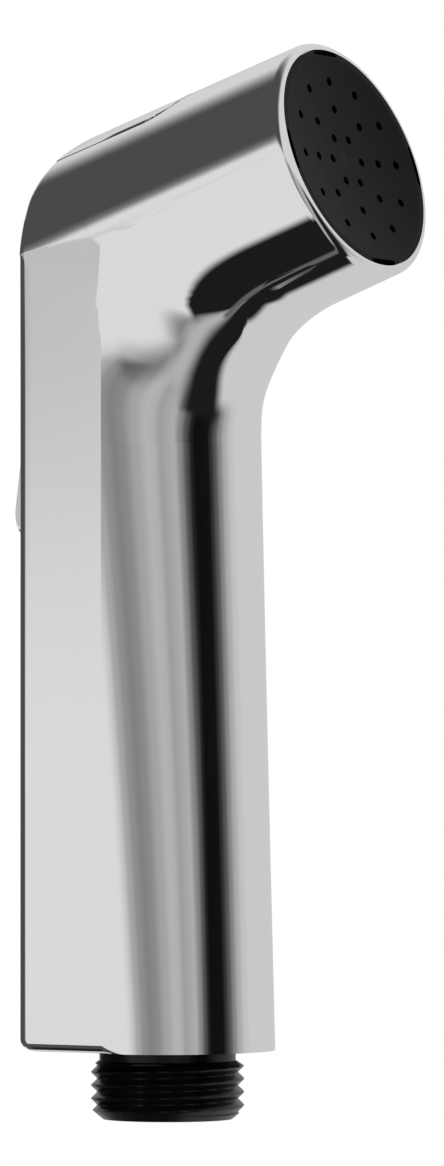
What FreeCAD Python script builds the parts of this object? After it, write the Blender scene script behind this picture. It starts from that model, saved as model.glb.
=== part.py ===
import FreeCAD, Part
import math
import os
import re

import Sketcher
from FreeCAD import Placement, Rotation, Vector

os.makedirs("parts", exist_ok=True)
doc = FreeCAD.newDocument("hand_shower")

# Driving dimensions, in millimetres and degrees. The origin is the centre of the inlet's lower
# end face, +Z runs up the grip and +X points to the side that sprays.
sizes = {
    # Running gap between pieces that fit into each other
    "slip": 0.1,
    # Inlet thread, G1/2
    "thread_radius": 10.4775,
    "thread_depth": 1.162,
    "thread_pitch": 1.814,
    "thread_length": 8.0,
    "thread_crest": 0.45,
    "thread_sink": 0.15,
    "thread_lead_in": 0.5,
    "thread_end_bevel": 0.6,
    "collar_radius": 9.3,
    # Outside of the body
    "body_bottom": 9.4,
    "flat_spread": 0.41,
    "flat_taper": 1.86,
    "flat_high_drop": 13.3,
    "back_low": 14.7,
    "back_high": 13.44,
    "edge_low": -0.83,
    "edge_high": 0.43,
    "front_low": 14.6,
    "front_lean": 1.67,
    "edge_angle_rate": 0.28,
    "neck_fillet": 19.0,
    "head_tilt": 20.0,
    "face_forward": 29.95,
    "face_height": 130.3,
    "face_radius": 16.76,
    "head_draft": 0.8,
    "rim_round": 1.1,
    "back_corner": 12.0,
    "flat_edge_round": 0.9,
    "wall": 2.0,
    "slot_depth": 5.0,
    "slot_inner_limit": -9.0,
    # How far the blocks that only cut reach past what they cut
    "past": 60.0,
    # Lever
    "lever_half": 9.6,
    "lever_gap": 0.25,
    "lever_wall": 2.2,
    "lever_front": 17.0,
    "lever_nose": 7.5,
    "lever_bend_drop": 8.3,
    "lever_bend_radius": 20.0,
    "lever_tail_below": 52.8,
    "lever_tail_round": 3.2,
    "lever_tail_drop": 2.4,
    "lever_pad_rise": 4.9,
    "lever_pad_out": 4.75,
    "lever_pad_round": 5.0,
    "lever_cheek": 1.6,
    "lever_cheek_depth": 6.0,
    "lever_inner_limit": -4.0,
    "lever_travel": 4.5,
    "stop_rise": 8.5,
    "stop_half_height": 2.0,
    "stop_thickness": 1.5,
    "stop_reach": 1.6,
    "pivot_back": 20.5,
    "pivot_depth": 6.56,
    "pin_radius": 1.25,
    "pin_half": 12.0,
    "pin_clearance": 0.05,
    "pin_lug_radius": 3.0,
    "pin_lug_inner": 10.1,
    "ear_radius": 2.3,
    "ear_wall": 2.0,
    "ear_inset": 3.6,
    "pusher_radius": 2.5,
    "pusher_half": 3.5,
    # Valve across the grip
    "valve_drop": 24.3,
    "valve_rear": 9.5,
    "valve_front": 9.5,
    "valve_bore_radius": 5.1,
    "valve_housing_wall": 2.3,
    "outlet_chamber_step": 1.1,
    "outlet_chamber_length": 4.8,
    "guide_wall": 0.8,
    "seat_length": 1.4,
    "seat_hole_radius": 3.0,
    "poppet_overlap": 1.2,
    "seal_thickness": 1.0,
    "poppet_thickness": 1.0,
    "stem_radius": 2.0,
    "stem_reach": 12.8,
    "stem_tail_radius": 1.5,
    "stem_tail_length": 2.6,
    "stem_ring_section": 0.9,
    "gland_head_step": 1.3,
    "gland_head": 0.8,
    "plug_flange_step": 1.9,
    "plug_flange": 1.2,
    "plug_skirt": 2.3,
    "plug_floor": 0.5,
    "plug_ring_section": 0.55,
    "valve_spring_gap": 1.2,
    "valve_spring_wire": 0.6,
    "valve_spring_turns": 4.0,
    # Water core in the grip
    "spigot_wall": 2.2,
    "spigot_shoulder": 2.2,
    "socket_wall": 2.2,
    "socket_roof": 5.0,
    "socket_chamber": 3.0,
    "nipple_flange_step": 2.6,
    "nipple_flange": 2.0,
    "riser_forward": 4.0,
    "riser_bore_radius": 3.2,
    "riser_wall": 1.6,
    "outlet_bore_radius": 2.3,
    "outlet_wall": 1.9,
    "head_socket_wall": 1.4,
    "head_socket_mouth": 24.0,
    "head_socket_depth": 11.0,
    "socket_end_wall": 2.0,
    "ring_section": 0.65,
    "nipple_ring_rise": 3.0,
    "spigot_ring_inset": 5.0,
    # Inlet parts
    "mouth_wall": 2.3155,
    "mouth_step": 0.6,
    "cartridge_length": 15.3,
    "cartridge_wall": 1.2,
    "cartridge_floor": 1.5,
    "spider_thickness": 2.0,
    "spider_hole_radius": 1.15,
    "nipple_outlet_step": 1.8,
    "check_seat_radius": 3.2,
    "check_seat_overlap": 1.4,
    "check_plug_gap": 0.6,
    "check_plug_reach": 0.8,
    "check_seal_thickness": 0.9,
    "check_poppet_thickness": 1.2,
    "check_stem_radius": 1.4,
    "check_spring_gap": 1.05,
    "check_spring_wire": 0.5,
    "check_spring_turns": 5.0,
    "strainer_recess": 4.2,
    "strainer_thickness": 1.2,
    "strainer_hole_radius": 0.45,
    "strainer_spacing": 1.5,
    "limiter_thickness": 2.6,
    "limiter_hole_radius": 0.9,
    "limiter_ring_radius": 3.5,
    # Lower cover
    "cap_recess": 0.5,
    "cap_thickness": 2.0,
    "cap_gap": 0.12,
    "screw_back": 10.2,
    "screw_side": 9.6,
    "screw_radius": 1.2,
    "screw_head_step": 0.9,
    "screw_head": 1.2,
    "screw_boss_wall": 1.5,
    "screw_boss_height": 8.5,
    "screw_end_gap": 1.0,
    # Spray head
    "rim_wall": 1.16,
    "plate_thickness": 3.0,
    "plate_rim": 0.85,
    "plate_dish": 1.25,
    "jet_radius": 0.6,
    "inner_ring_radius": 3.55,
    "middle_ring_radius": 7.33,
    "outer_ring_radius": 11.2,
    "jet_turn": -2.7,
    "notch_width": 5.6,
    "notch_depth": 0.75,
    "notch_height": 1.3,
    "gasket_thickness": 1.0,
    "cup_step": 0.9,
    "cup_wall": 1.8,
    "cup_depth": 9.5,
    "cup_cone": 6.5,
    "cup_floor": 2.2,
    "cup_ledge": 1.3,
    "spray_plate_thickness": 1.0,
    "spray_plate_depth": 2.6,
    "spray_hole_radius": 1.3,
    "spray_ring_radius": 8.5,
    "cup_spigot_radius": 5.1,
    "cup_spigot_wall": 1.7,
}

# Sizes that follow from the ones above
followers = {
    "flat_half_high": "face_radius + flat_spread",
    "flat_half_low": "flat_half_high - flat_taper",
    "flat_high_level": "face_height - flat_high_drop",
    "valve_level": "face_height - valve_drop",
    "pivot_radial": "face_radius - pivot_depth",
    "lever_bend_level": "face_height - lever_bend_drop",
    "lever_tail_level": "face_height - lever_tail_below",
    "lever_pad_level": "lever_tail_level + lever_pad_rise",
    "stop_level": "lever_tail_level + stop_rise",
    "thread_root_radius": "thread_radius - thread_depth",
    "thread_base": "thread_pitch * 0.915",
    "mouth_radius": "thread_root_radius - mouth_wall",
    "mouth_depth": "strainer_recess + strainer_thickness + limiter_thickness + 4 * slip",
    "cartridge_radius": "mouth_radius - mouth_step",
    "spigot_radius": "cartridge_radius + spigot_wall",
    "spigot_top": "mouth_depth + slip + cartridge_length + spigot_shoulder",
    "nipple_flange_radius": "spigot_radius + nipple_flange_step",
    "nipple_outlet_radius": "cartridge_radius - nipple_outlet_step",
    "socket_radius": "spigot_radius + socket_wall",
    "riser_radius": "riser_bore_radius + riser_wall",
    "outlet_pipe_radius": "outlet_bore_radius + outlet_wall",
    "valve_housing_radius": "valve_bore_radius + valve_housing_wall",
    "outlet_chamber_radius": "valve_bore_radius - outlet_chamber_step",
    "poppet_radius": "seat_hole_radius + poppet_overlap",
    "gland_head_radius": "valve_bore_radius + gland_head_step",
    "plug_flange_radius": "valve_bore_radius + plug_flange_step",
    "valve_spring_radius": "stem_tail_radius + valve_spring_gap + valve_spring_wire / 2",
    "check_poppet_radius": "check_seat_radius + check_seat_overlap",
    "check_plug_radius": "check_seat_radius - check_plug_gap",
    "check_spring_radius": "check_stem_radius + check_spring_gap + check_spring_wire / 2",
    "screw_head_radius": "screw_radius + screw_head_step",
    "screw_boss_radius": "screw_radius + screw_boss_wall",
    "ear_half": "lever_half - ear_inset",
    "plate_seat_radius": "face_radius - rim_wall",
    "plate_radius": "plate_seat_radius - slip",
    "cup_radius": "plate_radius - cup_step",
    "cup_inner_radius": "cup_radius - cup_wall",
    "cup_spigot_bore": "cup_spigot_radius - cup_spigot_wall",
    "head_socket_bore": "cup_spigot_radius + slip",
    "head_socket_radius": "head_socket_bore + head_socket_wall",
}

# Counts of what repeats
inner_jets = 6
middle_jets = 8
outer_jets = 12
rim_notches = 4
spray_holes = 8
spider_holes = 6
limiter_holes = 3
strainer_rings = 4

sheet = doc.addObject("Spreadsheet::Sheet", "Sizes")
cells = {alias: str(value) for alias, value in sizes.items()}
cells.update({alias: "=" + formula for alias, formula in followers.items()})
for row, (alias, value) in enumerate(cells.items(), 1):
    sheet.set(f"A{row}", alias)
    sheet.setAlias(f"B{row}", alias)
for row, value in enumerate(cells.values(), 1):
    sheet.set(f"B{row}", value)
doc.recompute()


def size(alias):
    return float(sheet.get(alias))


def expression(text):
    """Put the sheet's name before each size that an expression uses."""
    return re.sub(r"[a-z][a-z_]+", lambda m: "Sizes." + m[0] if m[0] in cells else m[0], str(text))


def bind(thing, path, text):
    thing.setExpression(path, expression(text))


def moveTo(thing, x="0", y="0", z="0"):
    for axis, text in zip("xyz", (x, y, z)):
        if text != "0":
            bind(thing, "Placement.Base." + axis, text)


def rod(radius, start, end, x="0", y="0"):
    """A round step along local Z, from one level to another."""
    thing = doc.addObject("Part::Cylinder", "Rod")
    bind(thing, "Radius", radius)
    bind(thing, "Height", f"({end}) - ({start})")
    moveTo(thing, x, y, start)
    return thing


def cone(startRadius, endRadius, start, end):
    thing = doc.addObject("Part::Cone", "Cone")
    bind(thing, "Radius1", startRadius)
    bind(thing, "Radius2", endRadius)
    bind(thing, "Height", f"({end}) - ({start})")
    moveTo(thing, z=start)
    return thing


def torus(ringRadius, sectionRadius, level="0"):
    thing = doc.addObject("Part::Torus", "Torus")
    bind(thing, "Radius1", ringRadius)
    bind(thing, "Radius2", sectionRadius)
    moveTo(thing, z=level)
    return thing


def joined(things):
    if len(things) == 1:
        return things[0]
    fuse = doc.addObject("Part::MultiFuse", "Joined")
    fuse.Shapes = things
    return fuse


def cut(base, tools):
    result = doc.addObject("Part::Cut", "Cut")
    result.Base = base
    result.Tool = joined(tools)
    return result


pieces = {}


def keep(label, thing):
    thing.Label = label
    pieces[label] = thing
    return thing


def alongX(thing, start="0"):
    """Turn local Z to +X at the valve's level."""
    thing.Placement = Placement(Vector(), Rotation(Vector(0, 1, 0), 90))
    moveTo(thing, x=start, z="valve_level")
    return thing


def alongHead(thing, back="0"):
    """Put local Z on the head's axis, pointing out, with its origin that far behind the face."""
    thing.Placement = Placement(Vector(), Rotation(Vector(0, 1, 0), 90 - size("head_tilt")))
    bind(thing, "Placement.Rotation.Angle", "90 - head_tilt")
    x = f"face_forward - ({back}) * cos(head_tilt)"
    moveTo(thing, x, "0", f"face_height - ({back}) * sin(head_tilt)")
    return thing


def feature(label, shape):
    thing = doc.addObject("Part::Feature", label)
    thing.Shape = shape
    thing.Placement = Placement()
    return thing


# Places on the head: back is the distance behind the spray face along its axis, radial the
# distance above that axis.
tilt = math.radians(size("head_tilt"))
headForward = Vector(math.cos(tilt), 0, math.sin(tilt))
headUp = Vector(-math.sin(tilt), 0, math.cos(tilt))
faceCentre = Vector(size("face_forward"), 0, size("face_height"))


def onHead(back, radial=0.0, side=0.0):
    return faceCentre - headForward * back + headUp * radial + Vector(0, side, 0)


def headRadius(back):
    return size("face_radius") + back * math.tan(math.radians(size("head_draft")))


# Straight lines of the grip, each as a function of height
past = size("past")
lowLevel = size("body_bottom")
highLevel = size("flat_high_level")


def between(low, high, level):
    return low + (high - low) * (level - lowLevel) / (highLevel - lowLevel)


def flatHalf(level):
    return between(size("flat_half_low"), size("flat_half_high"), level)


def backLine(level):
    return -between(size("back_low"), size("back_high"), level)


def edgeLine(level):
    return between(size("edge_low"), size("edge_high"), level)


def frontLine(level):
    return size("front_low") - (level - lowLevel) * math.tan(math.radians(size("front_lean")))


def edgeAngle(level):
    return math.radians(size("edge_angle_rate") * (level - lowLevel))


def crossing(pointA, directionA, pointB, directionB):
    """Where two lines in the XZ plane meet."""
    det = directionA.x * -directionB.z + directionB.x * directionA.z
    gap = pointB - pointA
    along = (gap.x * -directionB.z + directionB.x * gap.z) / det
    return pointA + directionA * along


# Where the crease line of the flats meets the head's axis
edgeFoot = Vector(edgeLine(0), 0, 0)
edgeUp = Vector(edgeLine(1) - edgeLine(0), 0, 1)
edgeTop = crossing(edgeFoot, edgeUp, onHead(0), headForward)


# The neck's inner fillet in the middle plane: its centre is one radius off the grip's front
# line and one radius under the head's lowest line.
lean = math.radians(size("front_lean"))
draft = math.radians(size("head_draft"))
gripNormal = Vector(math.cos(lean), 0, math.sin(lean))
gripUp = Vector(-math.sin(lean), 0, math.cos(lean))
underNormal = Vector(math.sin(tilt + draft), 0, -math.cos(tilt + draft))
underForward = Vector(math.cos(tilt + draft), 0, math.sin(tilt + draft))


def neckCentre():
    radius = size("neck_fillet")
    gripSide = Vector(frontLine(lowLevel), 0, lowLevel) + gripNormal * radius
    headSide = onHead(0, -size("face_radius")) + underNormal * radius
    return crossing(gripSide, gripUp, headSide, underForward)


def frontCurve(origin, forward, depth, half, angle, overrun):
    """Half of a section's rounded front, then its mirror image, as one list of edges.

    The curve starts at a side edge, turned in by angle, and meets the middle plane square. It
    is a side arc and a nose arc, and a straight overrun carries it back past the edge.
    """
    join = math.radians(60)
    a11 = math.sin(join) - math.sin(angle)
    a12 = 1 - math.sin(join)
    a21 = math.cos(angle) - math.cos(join)
    a22 = math.cos(join)
    det = a11 * a22 - a12 * a21
    sideRadius = (depth * a22 - a12 * half) / det
    noseRadius = (a11 * half - a21 * depth) / det
    sideCentre = (-sideRadius * math.sin(angle), -half + sideRadius * math.cos(angle))
    noseCentre = (depth - noseRadius, 0.0)

    def place(u, v):
        return origin + forward * u + Vector(0, v, 0)

    def sidePoint(turn):
        return (sideCentre[0] + sideRadius * math.sin(turn), sideCentre[1] - sideRadius * math.cos(turn))

    def nosePoint(turn):
        return (noseCentre[0] + noseRadius * math.sin(turn), -noseRadius * math.cos(turn))

    start = sidePoint(angle)
    back = (start[0] - overrun * math.cos(angle), start[1] - overrun * math.sin(angle))
    middle = sidePoint((angle + join) / 2)
    meet = sidePoint(join)
    noseMiddle = nosePoint((join + math.pi / 2) / 2)
    tip = (depth, 0.0)
    left = [back, start, middle, meet, noseMiddle, tip]
    right = [(u, -v) for u, v in left]
    edges = [
        Part.LineSegment(place(*left[0]), place(*left[1])).toShape(),
        Part.Arc(place(*left[1]), place(*left[2]), place(*left[3])).toShape(),
        Part.Arc(place(*left[3]), place(*left[4]), place(*left[5])).toShape(),
        Part.Arc(place(*right[5]), place(*right[4]), place(*right[3])).toShape(),
        Part.Arc(place(*right[3]), place(*right[2]), place(*right[1])).toShape(),
        Part.LineSegment(place(*right[1]), place(*right[0])).toShape(),
        Part.LineSegment(place(*right[0]), place(*left[0])).toShape(),
    ]
    return Part.Wire(edges)


def gripSection(level, inset):
    edge = edgeLine(level)
    depth = frontLine(level) - edge - inset
    half = flatHalf(level) + 0.04 - inset
    origin = Vector(edge, 0, level)
    return frontCurve(origin, Vector(1, 0, 0), depth, half, edgeAngle(level), 3.0)


def neckSections(inset):
    """Sections in planes that fan round the neck's centre, from the grip to the head."""
    centre = neckCentre()
    radius = size("neck_fillet")
    startTurn = math.pi + lean
    endTurn = math.pi / 2 + tilt + draft
    tangentLevel = centre.z - radius * math.sin(lean)
    cornerAngle = edgeAngle(tangentLevel)
    cornerTurn = math.atan2(edgeTop.z - centre.z, edgeTop.x - centre.x)
    wires = []
    steps = 6
    for step in range(0, steps + 1):
        turn = startTurn + (endTurn + math.radians(5) - startTurn) * step / steps
        outward = Vector(math.cos(turn), 0, math.sin(turn))
        onEdge = crossing(centre, outward, edgeFoot, edgeUp)
        onAxis = crossing(centre, outward, onHead(0), headForward)
        if turn > cornerTurn:
            origin = onEdge
            half = flatHalf(origin.z) + 0.04 - inset
            angle = cornerAngle * (turn - cornerTurn) / (startTurn - cornerTurn)
        else:
            origin = onAxis
            back = (faceCentre - origin).dot(headForward)
            half = headRadius(back) - 0.12 - inset
            angle = 0.0
        dive = 0.5 if step == steps else 0.0
        depth = (origin - centre).Length - radius - inset - dive
        wires.append(frontCurve(origin, -outward, depth, half, angle, 2.0))
    return wires


def frontSkin(inset):
    """The grip's rounded front and the neck, as one solid."""
    neck = neckSections(inset)
    grip = Part.makeLoft([gripSection(lowLevel - 1, inset), neck[0]], True, True)
    return grip.fuse(Part.makeLoft(neck, True, False, False, 3))


def headSolid(inset):
    length = size("past")
    start = headRadius(0) - inset
    end = headRadius(length) - inset
    solid = Part.makeCone(start, end, length, faceCentre, -headForward)
    if inset > 0:
        return solid
    rim = [edge for edge in solid.Edges if (edge.CenterOfMass - faceCentre).Length < 0.01]
    return solid.makeFillet(size("rim_round"), rim)


def outlineFace(points, rounds):
    """A closed outline in the XZ plane; rounds gives the radius at some of its corners."""
    count = len(points)
    starts = list(points)
    ends = list(points)
    arcs = {}
    for index, radius in rounds.items():
        here = points[index]
        before = (points[index - 1] - here).normalize()
        after = (points[(index + 1) % count] - here).normalize()
        half = before.getAngle(after) / 2
        bisector = (before + after).normalize()
        centre = here + bisector * (radius / math.sin(half))
        ends[index] = here + before * (radius / math.tan(half))
        starts[index] = here + after * (radius / math.tan(half))
        arcs[index] = centre - bisector * radius
    edges = []
    for index in range(count):
        following = (index + 1) % count
        if index in arcs:
            edges.append(Part.Arc(ends[index], arcs[index], starts[index]).toShape())
        edges.append(Part.LineSegment(starts[index], ends[following]).toShape())
    return Part.Face(Part.Wire(edges))


def sideProfile(inset, base):
    """The body's outline from the side: back line, rounded top corner, head's top line."""
    top = headUp * (headRadius(0) + 0.02 - inset)
    topSlope = Vector(math.cos(tilt - draft), 0, math.sin(tilt - draft))
    topEdge = faceCentre + top
    backStart = Vector(backLine(base) + inset, 0, base)
    backSlope = Vector(backLine(1) - backLine(0), 0, 1)
    corner = crossing(backStart, backSlope, topEdge, topSlope)
    outer = topEdge + topSlope * past
    points = [backStart, corner, outer, Vector(outer.x, 0, base)]
    return outlineFace(points, {1: size("back_corner") - inset})


def extrudeAcross(face, half):
    solid = face.extrude(Vector(0, 2 * half, 0))
    solid.translate(Vector(0, -half, 0))
    return solid


def flatWedge(inset, base):
    """The space between the two side flats, which lean in towards the bottom."""
    high = size("face_height") + past
    lowHalf = flatHalf(base) - inset
    highHalf = flatHalf(high) - inset
    points = [
        Vector(-past, -lowHalf, base),
        Vector(-past, lowHalf, base),
        Vector(-past, highHalf, high),
        Vector(-past, -highHalf, high),
    ]
    face = Part.Face(Part.makePolygon(points + [points[0]]))
    return face.extrude(Vector(2 * past, 0, 0))


def envelope(inset, base, rounded):
    """What the side profile and the flats leave, with its long edges rounded."""
    solid = extrudeAcross(sideProfile(inset, base), past).common(flatWedge(inset, base))
    if not rounded:
        return solid
    edges = []
    for edge in solid.Edges:
        box = edge.BoundBox
        sideways = box.YMin * box.YMax > 0
        onBack = box.XMax < size("face_forward") and sideways
        lowSide = sideways and box.ZMax < base + 0.1
        lowBack = box.ZMax < base + 0.1 and box.XMax < 0
        if onBack or lowSide or lowBack:
            edges.append(edge)
    return solid.makeFillet(size("flat_edge_round"), edges)


def bodyForm(inset=0.0, rounded=False, base=None):
    """The closed outer form of the body, or the same form inset by a wall."""
    base = lowLevel if base is None else base
    foot = lowLevel - 1
    behind = [Vector(-past, 0, foot), Vector(edgeLine(lowLevel), 0, foot), edgeTop, onHead(past)]
    block = extrudeAcross(Part.Face(Part.makePolygon(behind + [behind[0]])), past)
    skin = frontSkin(inset)
    form = skin.fuse([block.common(flatWedge(inset, lowLevel - 1)), headSolid(inset)])
    return form.common(envelope(inset, base, rounded))


def headFrame(back, radial=0.0):
    """A place on the head whose local X points forward along it and whose local Z points up."""
    return Placement(onHead(back, radial), Rotation(Vector(0, 1, 0), -size("head_tilt")))


def box(xMin, xMax, yMin, yMax, zMin, zMax):
    return Part.makeBox(xMax - xMin, yMax - yMin, zMax - zMin, Vector(xMin, yMin, zMin))


def leverBand(gap, tail, radialDepth, backDepth):
    """All that the lever's outline covers, seen from above and from the back."""
    half = size("lever_half") + gap
    nose = size("lever_nose") + gap
    noseEnd = Part.Ellipse(Vector(0, half, 0), Vector(nose, 0, 0), Vector(0, 0, 0)).toShape()
    top = Part.Face(Part.Wire(noseEnd)).extrude(Vector(0, 0, past))
    top = top.fuse(box(-past, 0, -half, half, 0, past))
    top.Placement = headFrame(size("lever_front") + size("lever_nose"), radialDepth)
    back = box(-past, backDepth, -half, half, tail, size("lever_bend_level"))
    corners = []
    for edge in back.Edges:
        bounds = edge.BoundBox
        if bounds.XLength > 1 and bounds.ZMax < tail + 0.1:
            corners.append(edge)
    back = back.makeFillet(size("lever_tail_round") + gap, corners)
    return top.fuse(back)


def leverProfile(inset):
    """The lever from the side: along the head, round its back corner, then sloping out."""
    topEdge = faceCentre + headUp * (headRadius(0) + 0.02 - inset)
    topSlope = Vector(math.cos(tilt - draft), 0, math.sin(tilt - draft))
    bend = Vector(backLine(size("lever_bend_level")), 0, size("lever_bend_level"))
    pad = Vector(backLine(size("lever_pad_level")) - size("lever_pad_out"), 0, size("lever_pad_level"))
    slope = (pad - bend).normalize()
    inward = Vector(-slope.z, 0, slope.x)
    tail = size("lever_tail_level")
    lowEnd = crossing(bend + inward * inset, slope, Vector(0, 0, tail), Vector(1, 0, 0))
    backUp = Vector(backLine(1) - backLine(0), 0, 1)
    backEdge = bend + Vector(inset, 0, 0)
    bendPoint = crossing(bend + inward * inset, slope, backEdge, backUp)
    corner = crossing(backEdge, backUp, topEdge, topSlope)
    outer = topEdge + topSlope * past
    points = [lowEnd, bendPoint, corner, outer, Vector(outer.x, 0, tail)]
    rounds = {1: size("lever_bend_radius"), 2: size("back_corner") - inset}
    if inset == 0:
        rounds[0] = size("lever_pad_round")
    return outlineFace(points, rounds)


def leverForm(inset):
    """The head's cone and the space under its axis, up to the lever's profile."""
    low = size("lever_tail_level") - size("lever_pad_out")
    under = [onHead(past), edgeTop, Vector(0, 0, low), Vector(-past, 0, low)]
    block = extrudeAcross(Part.Face(Part.makePolygon(under + [under[0]])), past)
    form = headSolid(inset).fuse(block)
    return form.common(extrudeAcross(leverProfile(inset), past))


def bothSides(shape):
    return shape.fuse(shape.mirror(Vector(0, 0, 0), Vector(0, 1, 0)))


pivot = onHead(size("pivot_back"), size("pivot_radial"))


def acrossRod(radius, half, centre):
    return Part.makeCylinder(radius, 2 * half, centre - Vector(0, half, 0), Vector(0, 1, 0))


def leverEars():
    """The two lugs under the lever's top that the pin goes through."""
    radius = size("ear_radius")
    outer = size("ear_half")
    inner = outer - size("ear_wall")
    lug = box(-radius, radius, -outer, -inner, 0, past)
    lug.Placement = headFrame(size("pivot_back"), size("pivot_radial"))
    eye = Part.makeCylinder(radius, outer - inner, pivot - Vector(0, outer, 0), Vector(0, 1, 0))
    return bothSides(lug.fuse(eye))


def leverStops():
    """Two lips that bear on the inside of the shell's back wall while the lever is at rest."""
    level = size("stop_level")
    face = backLine(level) + size("wall") + size("slip")
    outer = size("lever_half") + size("stop_reach")
    inner = size("lever_half") - size("lever_cheek")
    rise = size("stop_half_height")
    return bothSides(box(face, face + size("stop_thickness"), inner, outer, level - rise, level + rise))


def makeLever():
    whole = leverForm(0)
    band = leverBand(0, size("lever_tail_level"), 0, size("lever_inner_limit"))
    outside = whole.common(band)
    plate = outside.cut(leverForm(size("lever_wall")))
    half = size("lever_half")
    inner = half - size("lever_cheek")
    depth = size("lever_wall") + size("lever_cheek_depth")
    ring = outside.cut(extrudeAcross(leverProfile(depth), past))
    cheeks = bothSides(ring.common(box(-past, past, -half - 1, -inner, 0, size("face_height") + past)))
    pusherCentre = Vector(-size("stem_reach") - size("slip") - size("pusher_radius"), 0, pusherLevel())
    pusher = acrossRod(size("pusher_radius"), size("pusher_half"), pusherCentre)
    added = leverEars().fuse(pusher).common(outside)
    lever = plate.fuse([cheeks, added, leverStops()])
    hole = acrossRod(size("pin_radius") + size("pin_clearance"), size("pin_half"), pivot)
    return lever.cut(hole).removeSplitter()


def pusherLevel():
    """The pusher stands as far above the stem's axis at rest as it ends below it when pressed."""
    reach = pivot.x + size("stem_reach")
    return size("valve_level") + reach * math.sin(math.radians(size("lever_travel"))) / 2


def screwBosses(start, end):
    """Two bosses in the back corners of the shell, joined to its wall by ribs."""
    radius = size("screw_boss_radius")
    x = -size("screw_back")
    y = -size("screw_side")
    boss = Part.makeCylinder(radius, end - start, Vector(x, y, start))
    rib = box(backLine(start), x, y - 1, y + 1, start, end)
    return bothSides(boss.fuse(rib))


def pinLugs():
    """Two thick places in the shell's sides that hold the pin's ends."""
    lug = acrossRod(size("pin_lug_radius"), size("face_radius"), pivot)
    return lug.cut(acrossRod(size("pin_lug_radius") + 1, size("pin_lug_inner"), pivot))


def makeBodyShell():
    shell = bodyForm(0, True).cut(bodyForm(size("wall"), False, lowLevel - 1))
    start = lowLevel + size("cap_recess") + size("cap_thickness") + size("slip")
    end = start + size("screw_boss_height")
    inside = bodyForm(size("wall") / 2, False, lowLevel - 1)
    shell = shell.fuse(screwBosses(start, end).fuse(pinLugs()).common(inside))
    depth = size("plate_thickness") + size("slip")
    seat = Part.makeCylinder(size("plate_seat_radius"), depth + 1, faceCentre + headForward, -headForward)
    tail = size("lever_tail_level") - size("lever_tail_drop")
    slot = leverBand(size("lever_gap"), tail, size("slot_depth"), size("slot_inner_limit"))
    place = Vector(-size("screw_back"), -size("screw_side"), start)
    holes = bothSides(Part.makeCylinder(size("screw_radius"), end, place))
    pinHole = acrossRod(size("pin_radius"), size("pin_half"), pivot)
    shell = shell.cut([seat, slot, holes, pinHole])
    return max(shell.Solids, key=lambda solid: solid.Volume)


def makeBottomCap():
    """A plate that fills the shell's lower opening, with holes for the inlet and two screws."""
    low = lowLevel + size("cap_recess")
    thickness = size("cap_thickness")
    form = bodyForm(size("wall") + size("cap_gap"), False, lowLevel - 1)
    plate = form.common(box(-past, past, -past, past, low, low + thickness))
    neck = Part.makeCylinder(size("collar_radius") + size("slip"), low + thickness + 1)
    place = Vector(-size("screw_back"), -size("screw_side"), low)
    hole = Part.makeCylinder(size("screw_radius") + size("slip"), thickness, place)
    sink = Part.makeCylinder(size("screw_head_radius") + size("slip"), size("screw_head"), place)
    return plate.cut([neck, bothSides(hole), bothSides(sink)])


def coil(radius, wire, turns, start, end):
    """A spring's wire as one tube, along arcs of a quarter turn that climb evenly."""
    low = start + wire / 2
    rise = (end - wire / 2 - low) / turns
    quarter = 0.25

    def point(turn):
        around = 2 * math.pi * turn
        return Vector(radius * math.cos(around), radius * math.sin(around), low + rise * turn)

    arcs = []
    for step in range(round(turns / quarter)):
        turn = step * quarter
        arcs.append(Part.Arc(point(turn), point(turn + quarter / 2), point(turn + quarter)).toShape())
    heading = Vector(0, 2 * math.pi * radius, rise).normalize()
    section = Part.Wire(Part.Circle(point(0), heading, wire / 2).toShape())
    tube = Part.BRepOffsetAPI.MakePipeShell(Part.Wire(arcs))
    tube.add(section)
    tube.build()
    tube.makeSolid()
    samples = 60
    points = [point(step / samples) for step in range(round(turns * samples) + 1)]
    gaps = []
    for index, here in enumerate(points):
        gaps += [here.distanceToPoint(there) - wire for there in points[index + samples // 2:]]
    print("least gap between turns", round(min(gaps), 2), "mm")
    return tube.shape()


def threadRidge():
    """The inlet's thread: one ridge along a helix, a little sunk into its root."""
    sunk = size("thread_root_radius") - size("thread_sink")
    crest = size("thread_radius")
    foot = size("thread_base") / 2
    top = size("thread_crest") / 2
    points = [Vector(sunk, 0, -foot), Vector(crest, 0, -top), Vector(crest, 0, top), Vector(sunk, 0, foot)]
    start = size("thread_lead_in") + foot
    climb = size("thread_length") - size("slip") - foot - start
    path = Part.makeHelix(size("thread_pitch"), climb, size("thread_root_radius"))
    sweep = Part.BRepOffsetAPI.MakePipeShell(path)
    sweep.setFrenetMode(True)
    sweep.add(Part.makePolygon(points + [points[0]]))
    sweep.build()
    sweep.makeSolid()
    ridge = sweep.shape()
    ridge.translate(Vector(0, 0, start))
    return ridge


# Levels up the inlet
flangeLow = "body_bottom + cap_recess + cap_thickness + slip"
flangeHigh = f"{flangeLow} + nipple_flange"
socketLow = f"{flangeHigh} + slip"
socketRoof = "spigot_top + slip"
socketHigh = f"{socketRoof} + socket_roof"
cartridgeTop = "mouth_depth + slip + cartridge_length"
ringLevel = f"{socketLow} + nipple_ring_rise"
ringGroove = "spigot_radius + slip - 2 * ring_section"


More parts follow.
